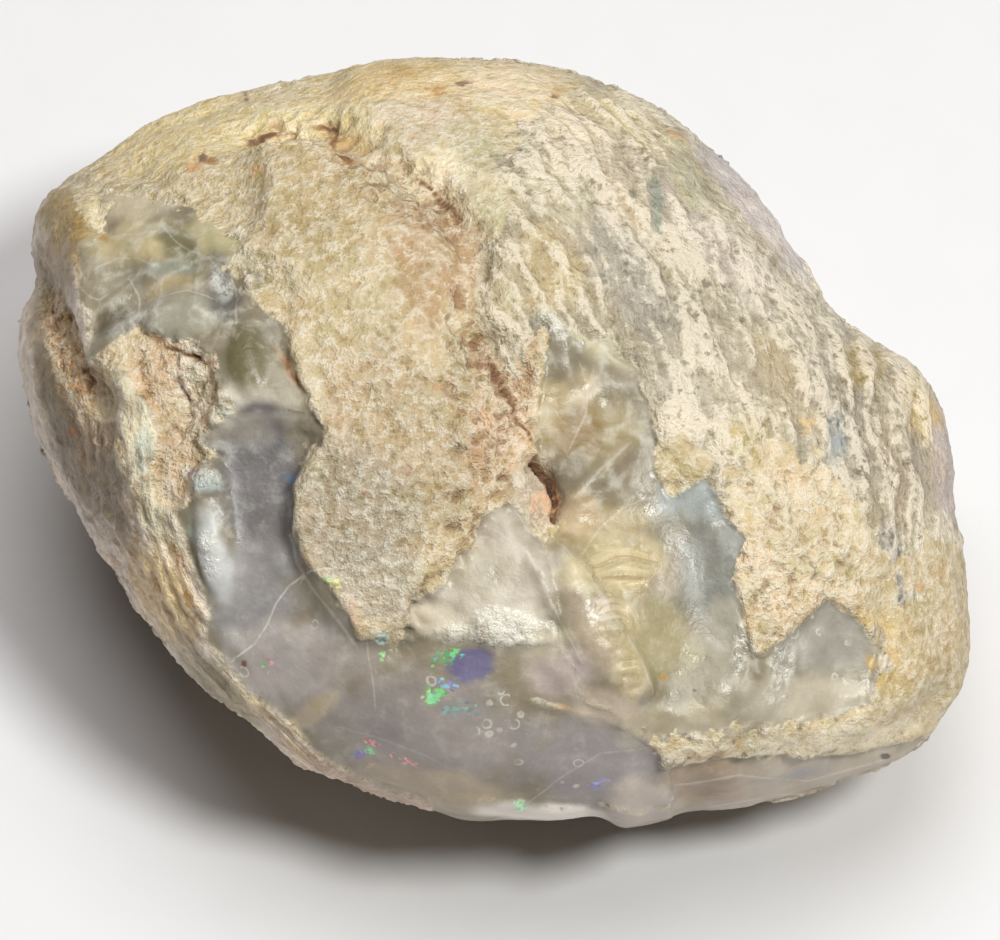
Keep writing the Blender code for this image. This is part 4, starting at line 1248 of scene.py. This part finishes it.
def makeShell(values):
    mesh = fineCopy(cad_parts["fossil_shell"], values)
    mesh.materials.clear()
    meltFacets(mesh, values)
    mesh = thinBack(mesh, values)
    places = FacePlaces(readPoints(mesh), values)
    marks = surfaceMarks(places)
    print("shell: marks laid out on", len(places.u), "points")
    rise = faceRelief(places) + skinRelief(places, marks, skinRises)
    points = places.points + readNormals(mesh) * rise[:, None]
    points[:, 2] = np.maximum(points[:, 2], 0.0)  # the worn flat stays flat
    writePoints(mesh, points * mm)
    growth = np.stack((marks["age"], marks["along"], marks["layer"]), axis=1)
    storeMark(mesh, "growth", growth)
    for name in ("sandEdge", "glassEdge", "flankEdge"):
        storeMark(mesh, name, np.clip(marks[name], -edgeReach, edgeReach))
    for name in ("crackShade", "layered", "fan", "chalk", "chipped", "polish", "ridge", "grit", "pits",
                 "crest", "hair", "bubbles"):
        storeMark(mesh, name, marks[name])
    for name, tones in (("sandTone", sandTones), ("glassTone", glassTones),
                        ("grownTone", grownTones), ("flankTone", flankTones)):
        storeMark(mesh, name, cloudTones(places, tones))
    for name, spots in (("rust", rustStains), ("flash", colourFlashes)):
        colour, share = spotTones(places, spots)
        storeMark(mesh, name + "Tone", colour)
        storeMark(mesh, name + "Share", share)
    mesh.shade_smooth()
    print("shell:", sum(len(face.vertices) - 2 for face in mesh.polygons), "triangles")
    return addObject("opalized_shell", mesh)


def put(tree, kind, values=None, **settings):
    # a value is either a plain setting or another node's output
    node = tree.nodes.new(kind)
    for name, setting in settings.items():
        setattr(node, name, setting)
    for name, value in (values or {}).items():
        if isinstance(value, bpy.types.NodeSocket):
            tree.links.new(value, node.inputs[name])
        else:
            node.inputs[name].default_value = value
    return node


def send(tree, values, sockets):
    for name, value in values.items():
        tree.links.new(value, sockets[name])


def blendColour(tree, share, first, second, mode="MIX"):
    kinds = {"data_type": "RGBA", "blend_type": mode}
    return put(tree, "ShaderNodeMix", {0: share, 6: first, 7: second}, **kinds).outputs[2]


def blendValue(tree, share, first, second):
    return put(tree, "ShaderNodeMix", {0: share, 2: first, 3: second}).outputs[0]


def tinted(tree, colour, tint):
    return blendColour(tree, 1.0, colour, (*tint, 1.0), "MULTIPLY")


def toward(tree, colour, goal, share):
    # the colour drawn toward another, which is given as display values
    return blendColour(tree, share, colour, withAlpha(linearColour(*goal)))


def calculate(tree, operation, first, second=0.0, third=0.0):
    values = {0: first, 1: second, 2: third}
    return put(tree, "ShaderNodeMath", values, operation=operation).outputs[0]


def times(tree, first, second):
    return calculate(tree, "MULTIPLY", first, second)


def timesPlus(tree, first, second, third):
    return calculate(tree, "MULTIPLY_ADD", first, second, third)


def plus(tree, first, second):
    return calculate(tree, "ADD", first, second)


def minus(tree, first, second):
    return calculate(tree, "SUBTRACT", first, second)


def larger(tree, first, second):
    return calculate(tree, "MAXIMUM", first, second)


def offBy(tree, value, middle):
    return calculate(tree, "ABSOLUTE", minus(tree, value, middle))


def between(tree, value, low, high, start=0.0, end=1.0):
    # eases from start to end while the value goes from low to high
    values = {"Value": value, "From Min": low, "From Max": high, "To Min": start, "To Max": end}
    return put(tree, "ShaderNodeMapRange", values, interpolation_type="SMOOTHSTEP").outputs[0]


def noiseAt(tree, place, scale, detail=2.0, roughness=0.5):
    values = {"Vector": place, "Scale": scale, "Detail": detail, "Roughness": roughness,
              "Distortion": 0.0}
    return put(tree, "ShaderNodeTexNoise", values).outputs["Fac"]


def stretched(tree, place, scale):
    values = {0: place, 1: scale}
    return put(tree, "ShaderNodeVectorMath", values, operation="MULTIPLY").outputs[0]


def growthNoise(tree, growth, scale, detail, roughness):
    return noiseAt(tree, stretched(tree, growth, scale), 1.0, detail, roughness)


def readMark(tree, name, kind="Fac"):
    return put(tree, "ShaderNodeAttribute", attribute_name=name).outputs[kind]


def startGroup(name, inputs, outputs):
    kinds = {"Tone": "NodeSocketColor", "Color": "NodeSocketColor",
             "Place": "NodeSocketVector", "Growth": "NodeSocketVector"}
    tree = bpy.data.node_groups.new(name, "ShaderNodeTree")
    for labels, side in ((inputs, "INPUT"), (outputs, "OUTPUT")):
        for label in labels.split():
            kind = kinds.get(label, "NodeSocketFloat")
            tree.interface.new_socket(name=label, in_out=side, socket_type=kind)
    return tree, tree.nodes.new("NodeGroupInput").outputs, tree.nodes.new("NodeGroupOutput").inputs


def placeGroup(tree, group, values):
    return put(tree, "ShaderNodeGroup", values, node_tree=group).outputs


# A look holds tints, colours with how far the tone is drawn toward them, single shares, and
# the two values between which a noise or mark takes hold, then what it gives before and after.
sandLook = {
    "olive": (0.84, 0.83, 0.66),
    "pink": (1.03, 0.93, 0.84),
    "shade": (0.60, 0.50, 0.34),
    "pale": ((250, 244, 228), 0.6),
    "brown": ((122, 74, 42), 0.62),
    "loose": (0.2, 0.9),
    "olivePatches": (0.52, 0.36, 0.0, 0.75),
    "pinkPatches": (0.44, 0.60),
    "pinkOnLoose": (0.25, 1.0),
    "wispMiddle": 0.53,
    "wispWidth": (0.045, 0.0),
    "wispGaps": (0.40, 0.55),
    "paleCrumbs": (0.53, 0.64, 0.0, 0.85),
    "paleCrests": 0.55,
    "paleShare": 0.85,
    "darkCrumbs": (0.47, 0.37),
    "darkOnLoose": (0.45, 0.9),
    "darkPatches": (0.60, 0.44, 0.3, 1.0),
    "pitCrumbs": (0.62, 0.42),
    "holes": (0.37, 0.30),
    "holeShare": 0.8,
    "rise": (0.2, 1.0, 0.35, 0.75),
    "roughness": (0.35, 0.65, 0.8, 0.52),
}


def makeSandGrain(look):
    # sandy crust: pale wisps over tan and olive, painted shade in the hollows between the crumbs,
    # and brown pits where it is gritty
    tree, given, result = startGroup(
        "sandGrain", "Tone Crumbs Patchy Warmth Grit Pits Crest", "Color Height Roughness")
    tone, crumbs, patchy = given["Tone"], given["Crumbs"], given["Patchy"]
    loose = between(tree, given["Grit"], *look["loose"])
    olive = between(tree, patchy, *look["olivePatches"])
    colour = blendColour(tree, olive, tone, tinted(tree, tone, look["olive"]))
    warm = times(tree, between(tree, patchy, *look["pinkPatches"]), given["Warmth"])
    warm = times(tree, warm, blendValue(tree, loose, *look["pinkOnLoose"]))
    colour = blendColour(tree, warm, colour, tinted(tree, tone, look["pink"]))
    wisp = between(tree, offBy(tree, patchy, look["wispMiddle"]), *look["wispWidth"])
    wisp = times(tree, wisp, between(tree, crumbs, *look["wispGaps"]))
    light = larger(tree, wisp, between(tree, crumbs, *look["paleCrumbs"]))
    light = larger(tree, light, times(tree, given["Crest"], look["paleCrests"]))
    light = times(tree, light, look["paleShare"])
    colour = blendColour(tree, light, colour, toward(tree, tone, *look["pale"]))
    # painted shade: the low crumbs, which are the hollows of the bump, take the shade tint
    dark = between(tree, crumbs, *look["darkCrumbs"])
    dark = times(tree, dark, blendValue(tree, loose, *look["darkOnLoose"]))
    dark = times(tree, dark, between(tree, patchy, *look["darkPatches"]))
    colour = blendColour(tree, dark, colour, tinted(tree, tone, look["shade"]))
    pit = times(tree, given["Pits"], between(tree, crumbs, *look["pitCrumbs"]))
    hole = between(tree, crumbs, *look["holes"])
    hole = times(tree, hole, times(tree, loose, look["holeShare"]))
    pit = larger(tree, pit, hole)
    colour = blendColour(tree, pit, colour, toward(tree, tone, *look["brown"]))
    rise = times(tree, minus(tree, crumbs, 0.5), between(tree, given["Grit"], *look["rise"]))
    rough = between(tree, crumbs, *look["roughness"])
    send(tree, {"Color": colour, "Height": rise, "Roughness": rough}, result)
    return tree


opalLook = {
    "deep": (0.84, 0.83, 0.80),
    "milk": ((236, 232, 218), 0.55),
    "deepPatches": (0.50, 0.36, 0.0, 0.45),
    "milkPatches": (0.50, 0.68),
    "ringCells": 1.5,        # rings to the millimetre, at most
    "ringSize": (0.0, 1.0, 0.22, 0.40),
    "ringWave": 0.30,
    "ringShift": 0.15,
    "ringLine": (0.11, 0.02),
    "ringChance": (1.0, 1.15),
    "ringVeil": (0.36, 0.56, 0.35, 0.85),
    "rimVeil": (0.38, 0.56, 0.1, 0.8),
    "swell": 0.08,
    "folds": 0.55,
    "roughness": (0.35, 0.65, 0.31, 0.48),
}


def makeMilkyOpal(look):
    # clear to milky opal: white veils, pale rims on the chips and small ring marks
    tree, given, result = startGroup(
        "milkyOpal", "Place Tone Crumbs Patchy Veil Rings Rim Crumple", "Color Height Roughness")
    tone, veil = given["Tone"], given["Patchy"]
    milk = toward(tree, tone, *look["milk"])
    deep = between(tree, veil, *look["deepPatches"])
    colour = blendColour(tree, deep, tone, tinted(tree, tone, look["deep"]))
    milky = times(tree, between(tree, veil, *look["milkPatches"]), given["Veil"])
    colour = blendColour(tree, milky, colour, milk)
    cellValues = {"Vector": given["Place"], "Scale": look["ringCells"]}
    cells = put(tree, "ShaderNodeTexVoronoi", cellValues).outputs
    chosen = put(tree, "ShaderNodeSeparateColor", {"Color": cells["Color"]}).outputs
    size = between(tree, chosen[1], *look["ringSize"])
    wavy = timesPlus(tree, given["Crumbs"], look["ringWave"], size)
    away = offBy(tree, plus(tree, cells["Distance"], look["ringShift"]), wavy)
    chance = plus(tree, chosen[0], given["Rings"])
    ring = between(tree, away, *look["ringLine"])
    ring = times(tree, ring, between(tree, chance, *look["ringChance"]))
    ring = times(tree, ring, between(tree, veil, *look["ringVeil"]))
    rim = times(tree, given["Rim"], between(tree, veil, *look["rimVeil"]))
    colour = blendColour(tree, larger(tree, ring, rim), colour, milk)
    fold = times(tree, offBy(tree, veil, 0.5), given["Crumple"])
    rise = times(tree, minus(tree, veil, 0.5), look["swell"])
    rise = timesPlus(tree, fold, look["folds"], rise)
    rough = between(tree, veil, *look["roughness"])
    send(tree, {"Color": colour, "Height": rise, "Roughness": rough}, result)
    return tree


chalkLook = {
    "broad": ((2.4, 0.36, 0.0), 3.0, 0.62),  # stretch along the growth lines, detail, roughness
    "fine": ((6.5, 0.7, 0.0), 2.0, 0.6),
    "broadShare": 0.5,
    "crumbShare": 0.7,
    "clear": (0.90, 0.865, 0.835),
    "ochre": (0.93, 0.87, 0.70),
    "line": (0.80, 0.76, 0.66),
    "pit": (0.60, 0.54, 0.44),
    "creamy": ((236, 226, 198), 0.35),
    "chalk": ((254, 239, 217), 0.66),
    "creamyAmount": (0.48, 0.61),
    "creamyFine": (0.52, 0.62, 0.0, 0.5),
    "ochreFine": (0.46, 0.38, 0.0, 0.55),
    "lineWidth": (0.025, 0.0),
    "lineGaps": (0.58, 0.46),
    "lineShare": 0.8,
    "chalkAmount": (0.59, 0.68),
    "pitCrumbs": (0.42, 0.34),
    "pitShare": 0.8,
    "crestShare": 0.3,
    "rise": 0.5,
}


def makeChalkStreaks(look):
    # worn chalky remains of the shell that run along its growth lines
    tree, given, result = startGroup(
        "chalkStreaks", "Growth Tone Crumbs Cover Crest", "Color Mask Height")
    tone, crumbs = given["Tone"], given["Crumbs"]
    broad, fine = (growthNoise(tree, given["Growth"], *look[name]) for name in ("broad", "fine"))
    amount = timesPlus(tree, broad, look["broadShare"], times(tree, crumbs, look["crumbShare"]))
    amount = plus(tree, amount, given["Cover"])
    creamy = toward(tree, tone, *look["creamy"])
    chalk = toward(tree, tone, *look["chalk"])
    clear = tinted(tree, tone, look["clear"])
    colour = blendColour(tree, between(tree, amount, *look["creamyAmount"]), clear, creamy)
    colour = blendColour(tree, between(tree, fine, *look["creamyFine"]), colour, creamy)
    ochre = between(tree, fine, *look["ochreFine"])
    colour = blendColour(tree, ochre, colour, tinted(tree, tone, look["ochre"]))
    line = between(tree, offBy(tree, broad, 0.5), *look["lineWidth"])
    line = times(tree, line, between(tree, crumbs, *look["lineGaps"]))
    line = times(tree, line, look["lineShare"])
    colour = blendColour(tree, line, colour, tinted(tree, colour, look["line"]))
    mask = between(tree, amount, *look["chalkAmount"])
    colour = blendColour(tree, mask, colour, chalk)
    holes = times(tree, between(tree, crumbs, *look["pitCrumbs"]), look["pitShare"])
    colour = blendColour(tree, holes, colour, tinted(tree, tone, look["pit"]))
    crest = times(tree, given["Crest"], look["crestShare"])
    colour = blendColour(tree, crest, colour, chalk)
    rise = times(tree, minus(tree, crumbs, 0.5), look["rise"])
    send(tree, {"Color": colour, "Mask": mask, "Height": rise}, result)
    return tree


layerLook = {
    "lines": ((0.0, 0.14, 2.6), 4.0, 0.74),  # stretch along the layers, detail, roughness
    "pale": (1.30, 1.28, 1.26),
    "brown": (0.70, 0.58, 0.44),
    "deep": (0.84, 0.83, 0.80),
    "deepPatches": (0.52, 0.38),
    "palePatches": (0.5, 0.66),
    "paleShare": 0.45,
    "paleLines": (0.50, 0.60),
    "brownLines": (0.48, 0.38),
    "brownCrumbs": (0.44, 0.34, 0.0, 0.5),
    "lineRise": 0.22,
    "crumbRise": 0.30,
}


def makeLayerLines(look):
    # thin shell layers seen edge on, as cream, olive and brown lines
    tree, given, result = startGroup(
        "layerLines", "Growth Tone Crumbs Patchy Share", "Color Height")
    tone, crumbs, patchy = given["Tone"], given["Crumbs"], given["Patchy"]
    lines = growthNoise(tree, given["Growth"], *look["lines"])
    pale, brown, deep = (tinted(tree, tone, look[name]) for name in ("pale", "brown", "deep"))
    colour = blendColour(tree, between(tree, patchy, *look["deepPatches"]), tone, deep)
    mottle = times(tree, between(tree, patchy, *look["palePatches"]), look["paleShare"])
    colour = blendColour(tree, mottle, colour, pale)
    light = times(tree, between(tree, lines, *look["paleLines"]), given["Share"])
    dark = times(tree, between(tree, lines, *look["brownLines"]), given["Share"])
    colour = blendColour(tree, light, colour, pale)
    colour = blendColour(tree, dark, colour, brown)
    colour = blendColour(tree, between(tree, crumbs, *look["brownCrumbs"]), colour, brown)
    rise = times(tree, minus(tree, lines, 0.5), given["Share"])
    rise = times(tree, rise, look["lineRise"])
    rise = timesPlus(tree, minus(tree, crumbs, 0.5), look["crumbRise"], rise)
    send(tree, {"Color": colour, "Height": rise}, result)
    return tree


playLook = {
    "fleckStretch": (1.0, 1.6, 1.0),
    "fleckScale": 4.6,
    "hue": (0.0, 1.0, 0.43, 0.57),
    "brightness": (0.0, 1.0, 0.7, 1.6),
    "saturation": 0.85,
    "chance": 0.8,
    "shown": (0.95, 1.2),
}


def makeColourPlay(look):
    # play of colour: each fleck of the opal gives off its own hue near the given one
    tree, given, result = startGroup("colourPlay", "Place Tone Share", "Color Mask")
    place = stretched(tree, given["Place"], look["fleckStretch"])
    flecks = put(tree, "ShaderNodeTexVoronoi", {"Vector": place, "Scale": look["fleckScale"]})
    pick = put(tree, "ShaderNodeSeparateColor", {"Color": flecks.outputs["Color"]}).outputs
    shifted = put(tree, "ShaderNodeHueSaturation", {
        "Hue": between(tree, pick[0], *look["hue"]), "Saturation": look["saturation"],
        "Value": between(tree, pick[1], *look["brightness"]), "Color": given["Tone"]})
    chance = timesPlus(tree, pick[2], look["chance"], given["Share"])
    mask = between(tree, chance, *look["shown"])
    send(tree, {"Color": shifted.outputs["Color"], "Mask": mask}, result)
    return tree


finishLook = {
    "crumbs": (2.0, 4.0, 0.66),      # noise to the millimetre, detail, roughness
    "patchy": (1.05, 4.0, 0.64),
    "edges": {"sandEdge": (0.9, 0.10), "glassEdge": (0.6, 0.12), "flankEdge": (1.2, 0.30)},
    "veil": (0.3, 0.25),             # milkier where it is chipped, and everywhere
    "rings": 0.65,
    "warmth": 0.8,
    "ribShare": 0.7,
    "paintedGlintCrumbs": (0.42, 0.60, 0.1, 0.65),
    "polishTone": (236, 234, 224),
    "crackStainAndShadeTones": ((190, 150, 110), (64, 30, 15)),
    "crackShadeDepth": (0.12, 0.55),
    "hairWidth": (0.075, 0.02),
    "hairAway": (0.34, 0.16),
    "hairGaps": (0.34, 0.52, 0.35, 1.0),
    "hairTone": (228, 222, 208),
    "rustRagged": (2.6, 0.7),        # off the clear opal, and on it
    "rustShown": (0.35, 0.95, 0.0, 0.75),
    "playShare": 0.62,
    "roughness": {"shell": 0.42, "chalk": 0.7, "flank": 0.42, "polish": 0.16},
    "bumpEdge": (-0.2, 0.2),
    "skin": {                        # light that goes a little way into the opal
        "Subsurface Weight": 0.1, "Subsurface Scale": 0.0008,
        "Subsurface Radius": (1.0, 0.85, 0.7),
    },
}


def makeShellFinish(look):
    finish = bpy.data.materials.new("opalizedShell")
    finish.use_nodes = True
    tree = finish.node_tree
    surface = tree.nodes["Principled BSDF"]
    position = put(tree, "ShaderNodeTexCoord").outputs["Object"]
    place = stretched(tree, position, (1.0 / mm, 1.0 / mm, 1.0 / mm))
    growth = readMark(tree, "growth", "Vector")
    crumbs, patchy = (noiseAt(tree, place, *look[name]) for name in ("crumbs", "patchy"))
    ragged = minus(tree, crumbs, 0.5)
    edges = {}
    for name, (roughness, width) in look["edges"].items():
        rough = timesPlus(tree, ragged, roughness, readMark(tree, name))
        edges[name] = between(tree, rough, -width, width)
    sand, glass, flank = (edges[name] for name in ("sandEdge", "glassEdge", "flankEdge"))

    crest = readMark(tree, "crest")
    opal = placeGroup(tree, makeMilkyOpal(opalLook), {
        "Place": place, "Tone": readMark(tree, "glassTone", "Color"), "Crumbs": crumbs,
        "Patchy": patchy, "Veil": timesPlus(tree, readMark(tree, "chipped"), *look["veil"]),
        "Rings": times(tree, readMark(tree, "bubbles"), look["rings"]),
        "Rim": readMark(tree, "ridge"), "Crumple": readMark(tree, "polish")})
    chalk = placeGroup(tree, makeChalkStreaks(chalkLook), {
        "Growth": growth, "Tone": readMark(tree, "grownTone", "Color"), "Crumbs": crumbs,
        "Cover": readMark(tree, "chalk"), "Crest": crest})
    crust = placeGroup(tree, makeSandGrain(sandLook), {
        "Tone": readMark(tree, "sandTone", "Color"), "Crumbs": crumbs, "Patchy": patchy,
        "Warmth": look["warmth"], "Grit": readMark(tree, "grit"), "Pits": readMark(tree, "pits"),
        "Crest": crest})
    layers = placeGroup(tree, makeLayerLines(layerLook), {
        "Growth": growth, "Tone": readMark(tree, "flankTone", "Color"), "Crumbs": crumbs,
        "Patchy": patchy, "Share": readMark(tree, "layered")})
    play = placeGroup(tree, makeColourPlay(playLook), {
        "Place": place, "Tone": readMark(tree, "flashTone", "Color"),
        "Share": readMark(tree, "flashShare")})

    colour = blendColour(tree, flank, chalk["Color"], layers["Color"])
    colour = blendColour(tree, glass, colour, opal["Color"])
    ribs = times(tree, readMark(tree, "fan"), look["ribShare"])
    colour = blendColour(tree, ribs, colour, layers["Color"])
    # painted glints: on the polished spots the colour goes toward near white where the crumbs are
    # high
    paintedGlint = times(tree, readMark(tree, "polish"), between(tree, crumbs, *look["paintedGlintCrumbs"]))
    colour = toward(tree, colour, look["polishTone"], paintedGlint)
    colour = blendColour(tree, sand, colour, crust["Color"])
    # cracks: tan-brown stain where they are shallow, going to painted shade near black where they
    # are deepest
    shallow, deep = (withAlpha(linearColour(*tone)) for tone in look["crackStainAndShadeTones"])
    crackStainAndShade = blendColour(tree, readMark(tree, "crackShade"), shallow, deep)
    crackShadeShare = between(tree, readMark(tree, "crackShade"), *look["crackShadeDepth"])
    colour = blendColour(tree, crackShadeShare, colour, crackStainAndShade)
    # across, away and strength of the nearest fine line
    hair = put(tree, "ShaderNodeSeparateXYZ", {0: readMark(tree, "hair", "Vector")}).outputs
    line = between(tree, calculate(tree, "ABSOLUTE", hair["X"]), *look["hairWidth"])
    line = times(tree, line, between(tree, hair["Y"], *look["hairAway"]))
    line = times(tree, line, between(tree, patchy, *look["hairGaps"]))
    colour = toward(tree, colour, look["hairTone"], times(tree, line, hair["Z"]))
    rough = blendValue(tree, minus(tree, glass, sand), *look["rustRagged"])
    rust = timesPlus(tree, ragged, rough, readMark(tree, "rustShare"))
    rust = between(tree, rust, *look["rustShown"])
    colour = blendColour(tree, rust, colour, readMark(tree, "rustTone", "Color"))
    playShare = times(tree, play["Mask"], look["playShare"])
    colour = blendColour(tree, playShare, colour, play["Color"])

    plain = look["roughness"]
    gloss = blendValue(tree, chalk["Mask"], plain["shell"], plain["chalk"])
    gloss = blendValue(tree, flank, gloss, plain["flank"])
    gloss = blendValue(tree, glass, gloss, opal["Roughness"])
    gloss = blendValue(tree, readMark(tree, "polish"), gloss, plain["polish"])
    gloss = blendValue(tree, sand, gloss, crust["Roughness"])

    height = chalk["Height"]
    for name, part in (("flankEdge", layers), ("glassEdge", opal), ("sandEdge", crust)):
        inside = between(tree, readMark(tree, name), *look["bumpEdge"])
        height = blendValue(tree, inside, height, part["Height"])
    bump = put(tree, "ShaderNodeBump", {"Strength": 1.0, "Distance": mm, "Height": height})
    normal = bump.outputs["Normal"]
    send(tree, {"Base Color": colour, "Roughness": gloss, "Normal": normal}, surface.inputs)
    for name, value in look["skin"].items():
        surface.inputs[name].default_value = value
    return finish


studio = {
    "pixelsPerMm": 21.0,
    "frameWidth": 1000.0,
    "distance": 420.0,      # mm from the shell to the lens
    "clip": (0.01, 20.0),   # nearest and farthest that the camera sees, in metres
    "aim": (0.35, -1.55),   # middle of the frame on the face, u and v
    "sensor": 36.0,
    "lamps": {              # place in mm, size in mm, power in W, colour
        "softBox": ((0, 104, 591), 450.0, 2.32, (0.99, 1.0, 0.985)),
        "window": ((222, -173, 530), 130.0, 2.52, (0.975, 1.0, 0.96)),
    },
    "skyColour": (1.0, 0.87, 0.80, 1.0),
    "skyStrength": 0.05,
    "floorSize": 4000.0,
    "floorSteps": 8,
    "paper": ((0.742, 0.725, 0.744, 1.0), (0.768, 0.750, 0.769, 1.0)),
    "paperFibres": {"Scale": 900.0, "Detail": 1.0},
    "paperGloss": {"Roughness": 0.9, "Specular IOR Level": 0.1},
}


def facing(direction):
    return direction.to_track_quat("Z", "Y").to_euler()


def makeCamera(values, target):
    lens = bpy.data.cameras.new("studioCamera")
    lens.sensor_width = values["sensor"]
    shownWidth = values["frameWidth"] / values["pixelsPerMm"]
    lens.lens = values["sensor"] * values["distance"] / shownWidth
    lens.clip_start, lens.clip_end = values["clip"]
    camera = addObject("studioCamera", lens)
    camera.location = target + Vector(faceOut) * values["distance"] * mm
    camera.rotation_euler = facing(Vector(faceOut))
    bpy.context.scene.camera = camera


def makeLights(values, target):
    for name, (place, size, power, colour) in values["lamps"].items():
        lamp = bpy.data.lights.new(name, "AREA")
        lamp.shape = "DISK"
        lamp.size = size * mm
        lamp.energy = power
        lamp.color = colour
        light = addObject(name, lamp)
        light.location = Vector(place) * mm
        light.rotation_euler = facing(light.location - target)
        light.visible_camera = False
    sky = bpy.data.worlds.new("studioSky")
    sky.use_nodes = True
    backdrop = sky.node_tree.nodes["Background"].inputs
    backdrop["Color"].default_value = values["skyColour"]
    backdrop["Strength"].default_value = values["skyStrength"]
    bpy.context.scene.world = sky
    bpy.context.scene.view_settings.view_transform = "Standard"


def makeFloor(values):
    mesh = bpy.data.meshes.new("studioFloor")
    builder = bmesh.new()
    steps, halfSize = values["floorSteps"], values["floorSize"] * mm / 2
    bmesh.ops.create_grid(builder, x_segments=steps, y_segments=steps, size=halfSize)
    builder.to_mesh(mesh)
    builder.free()
    floor = addObject("studioFloor", mesh)
    paper = bpy.data.materials.new("palePaper")
    paper.use_nodes = True
    tree = paper.node_tree
    surface = tree.nodes["Principled BSDF"].inputs
    for name, value in values["paperGloss"].items():
        surface[name].default_value = value
    fibre = put(tree, "ShaderNodeTexNoise", values["paperFibres"]).outputs["Fac"]
    send(tree, {"Base Color": blendColour(tree, fibre, *values["paper"])}, surface)
    mesh.materials.append(paper)


shell = makeShell(shellSurface)
shell.data.materials.append(makeShellFinish(finishLook))
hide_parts("fossil_shell")
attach(shell, "root")
print("shell: finished and in place")

nodeMesh = readPoints(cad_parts["fossil_shell"].data)
upSpan = nodeMesh @ faceUp
outSpan = nodeMesh @ faceOut
middle = Vector(faceUp) * (upSpan.min() + upSpan.max()) / 2 + Vector(faceOut) * outSpan.mean()
aimU, aimV = studio["aim"]
aim = middle + (Vector(faceRight) * aimU + Vector(faceUp) * aimV) * mm
makeCamera(studio, aim)
makeLights(studio, middle)
makeFloor(studio)
print("studio: camera, light and floor ready")
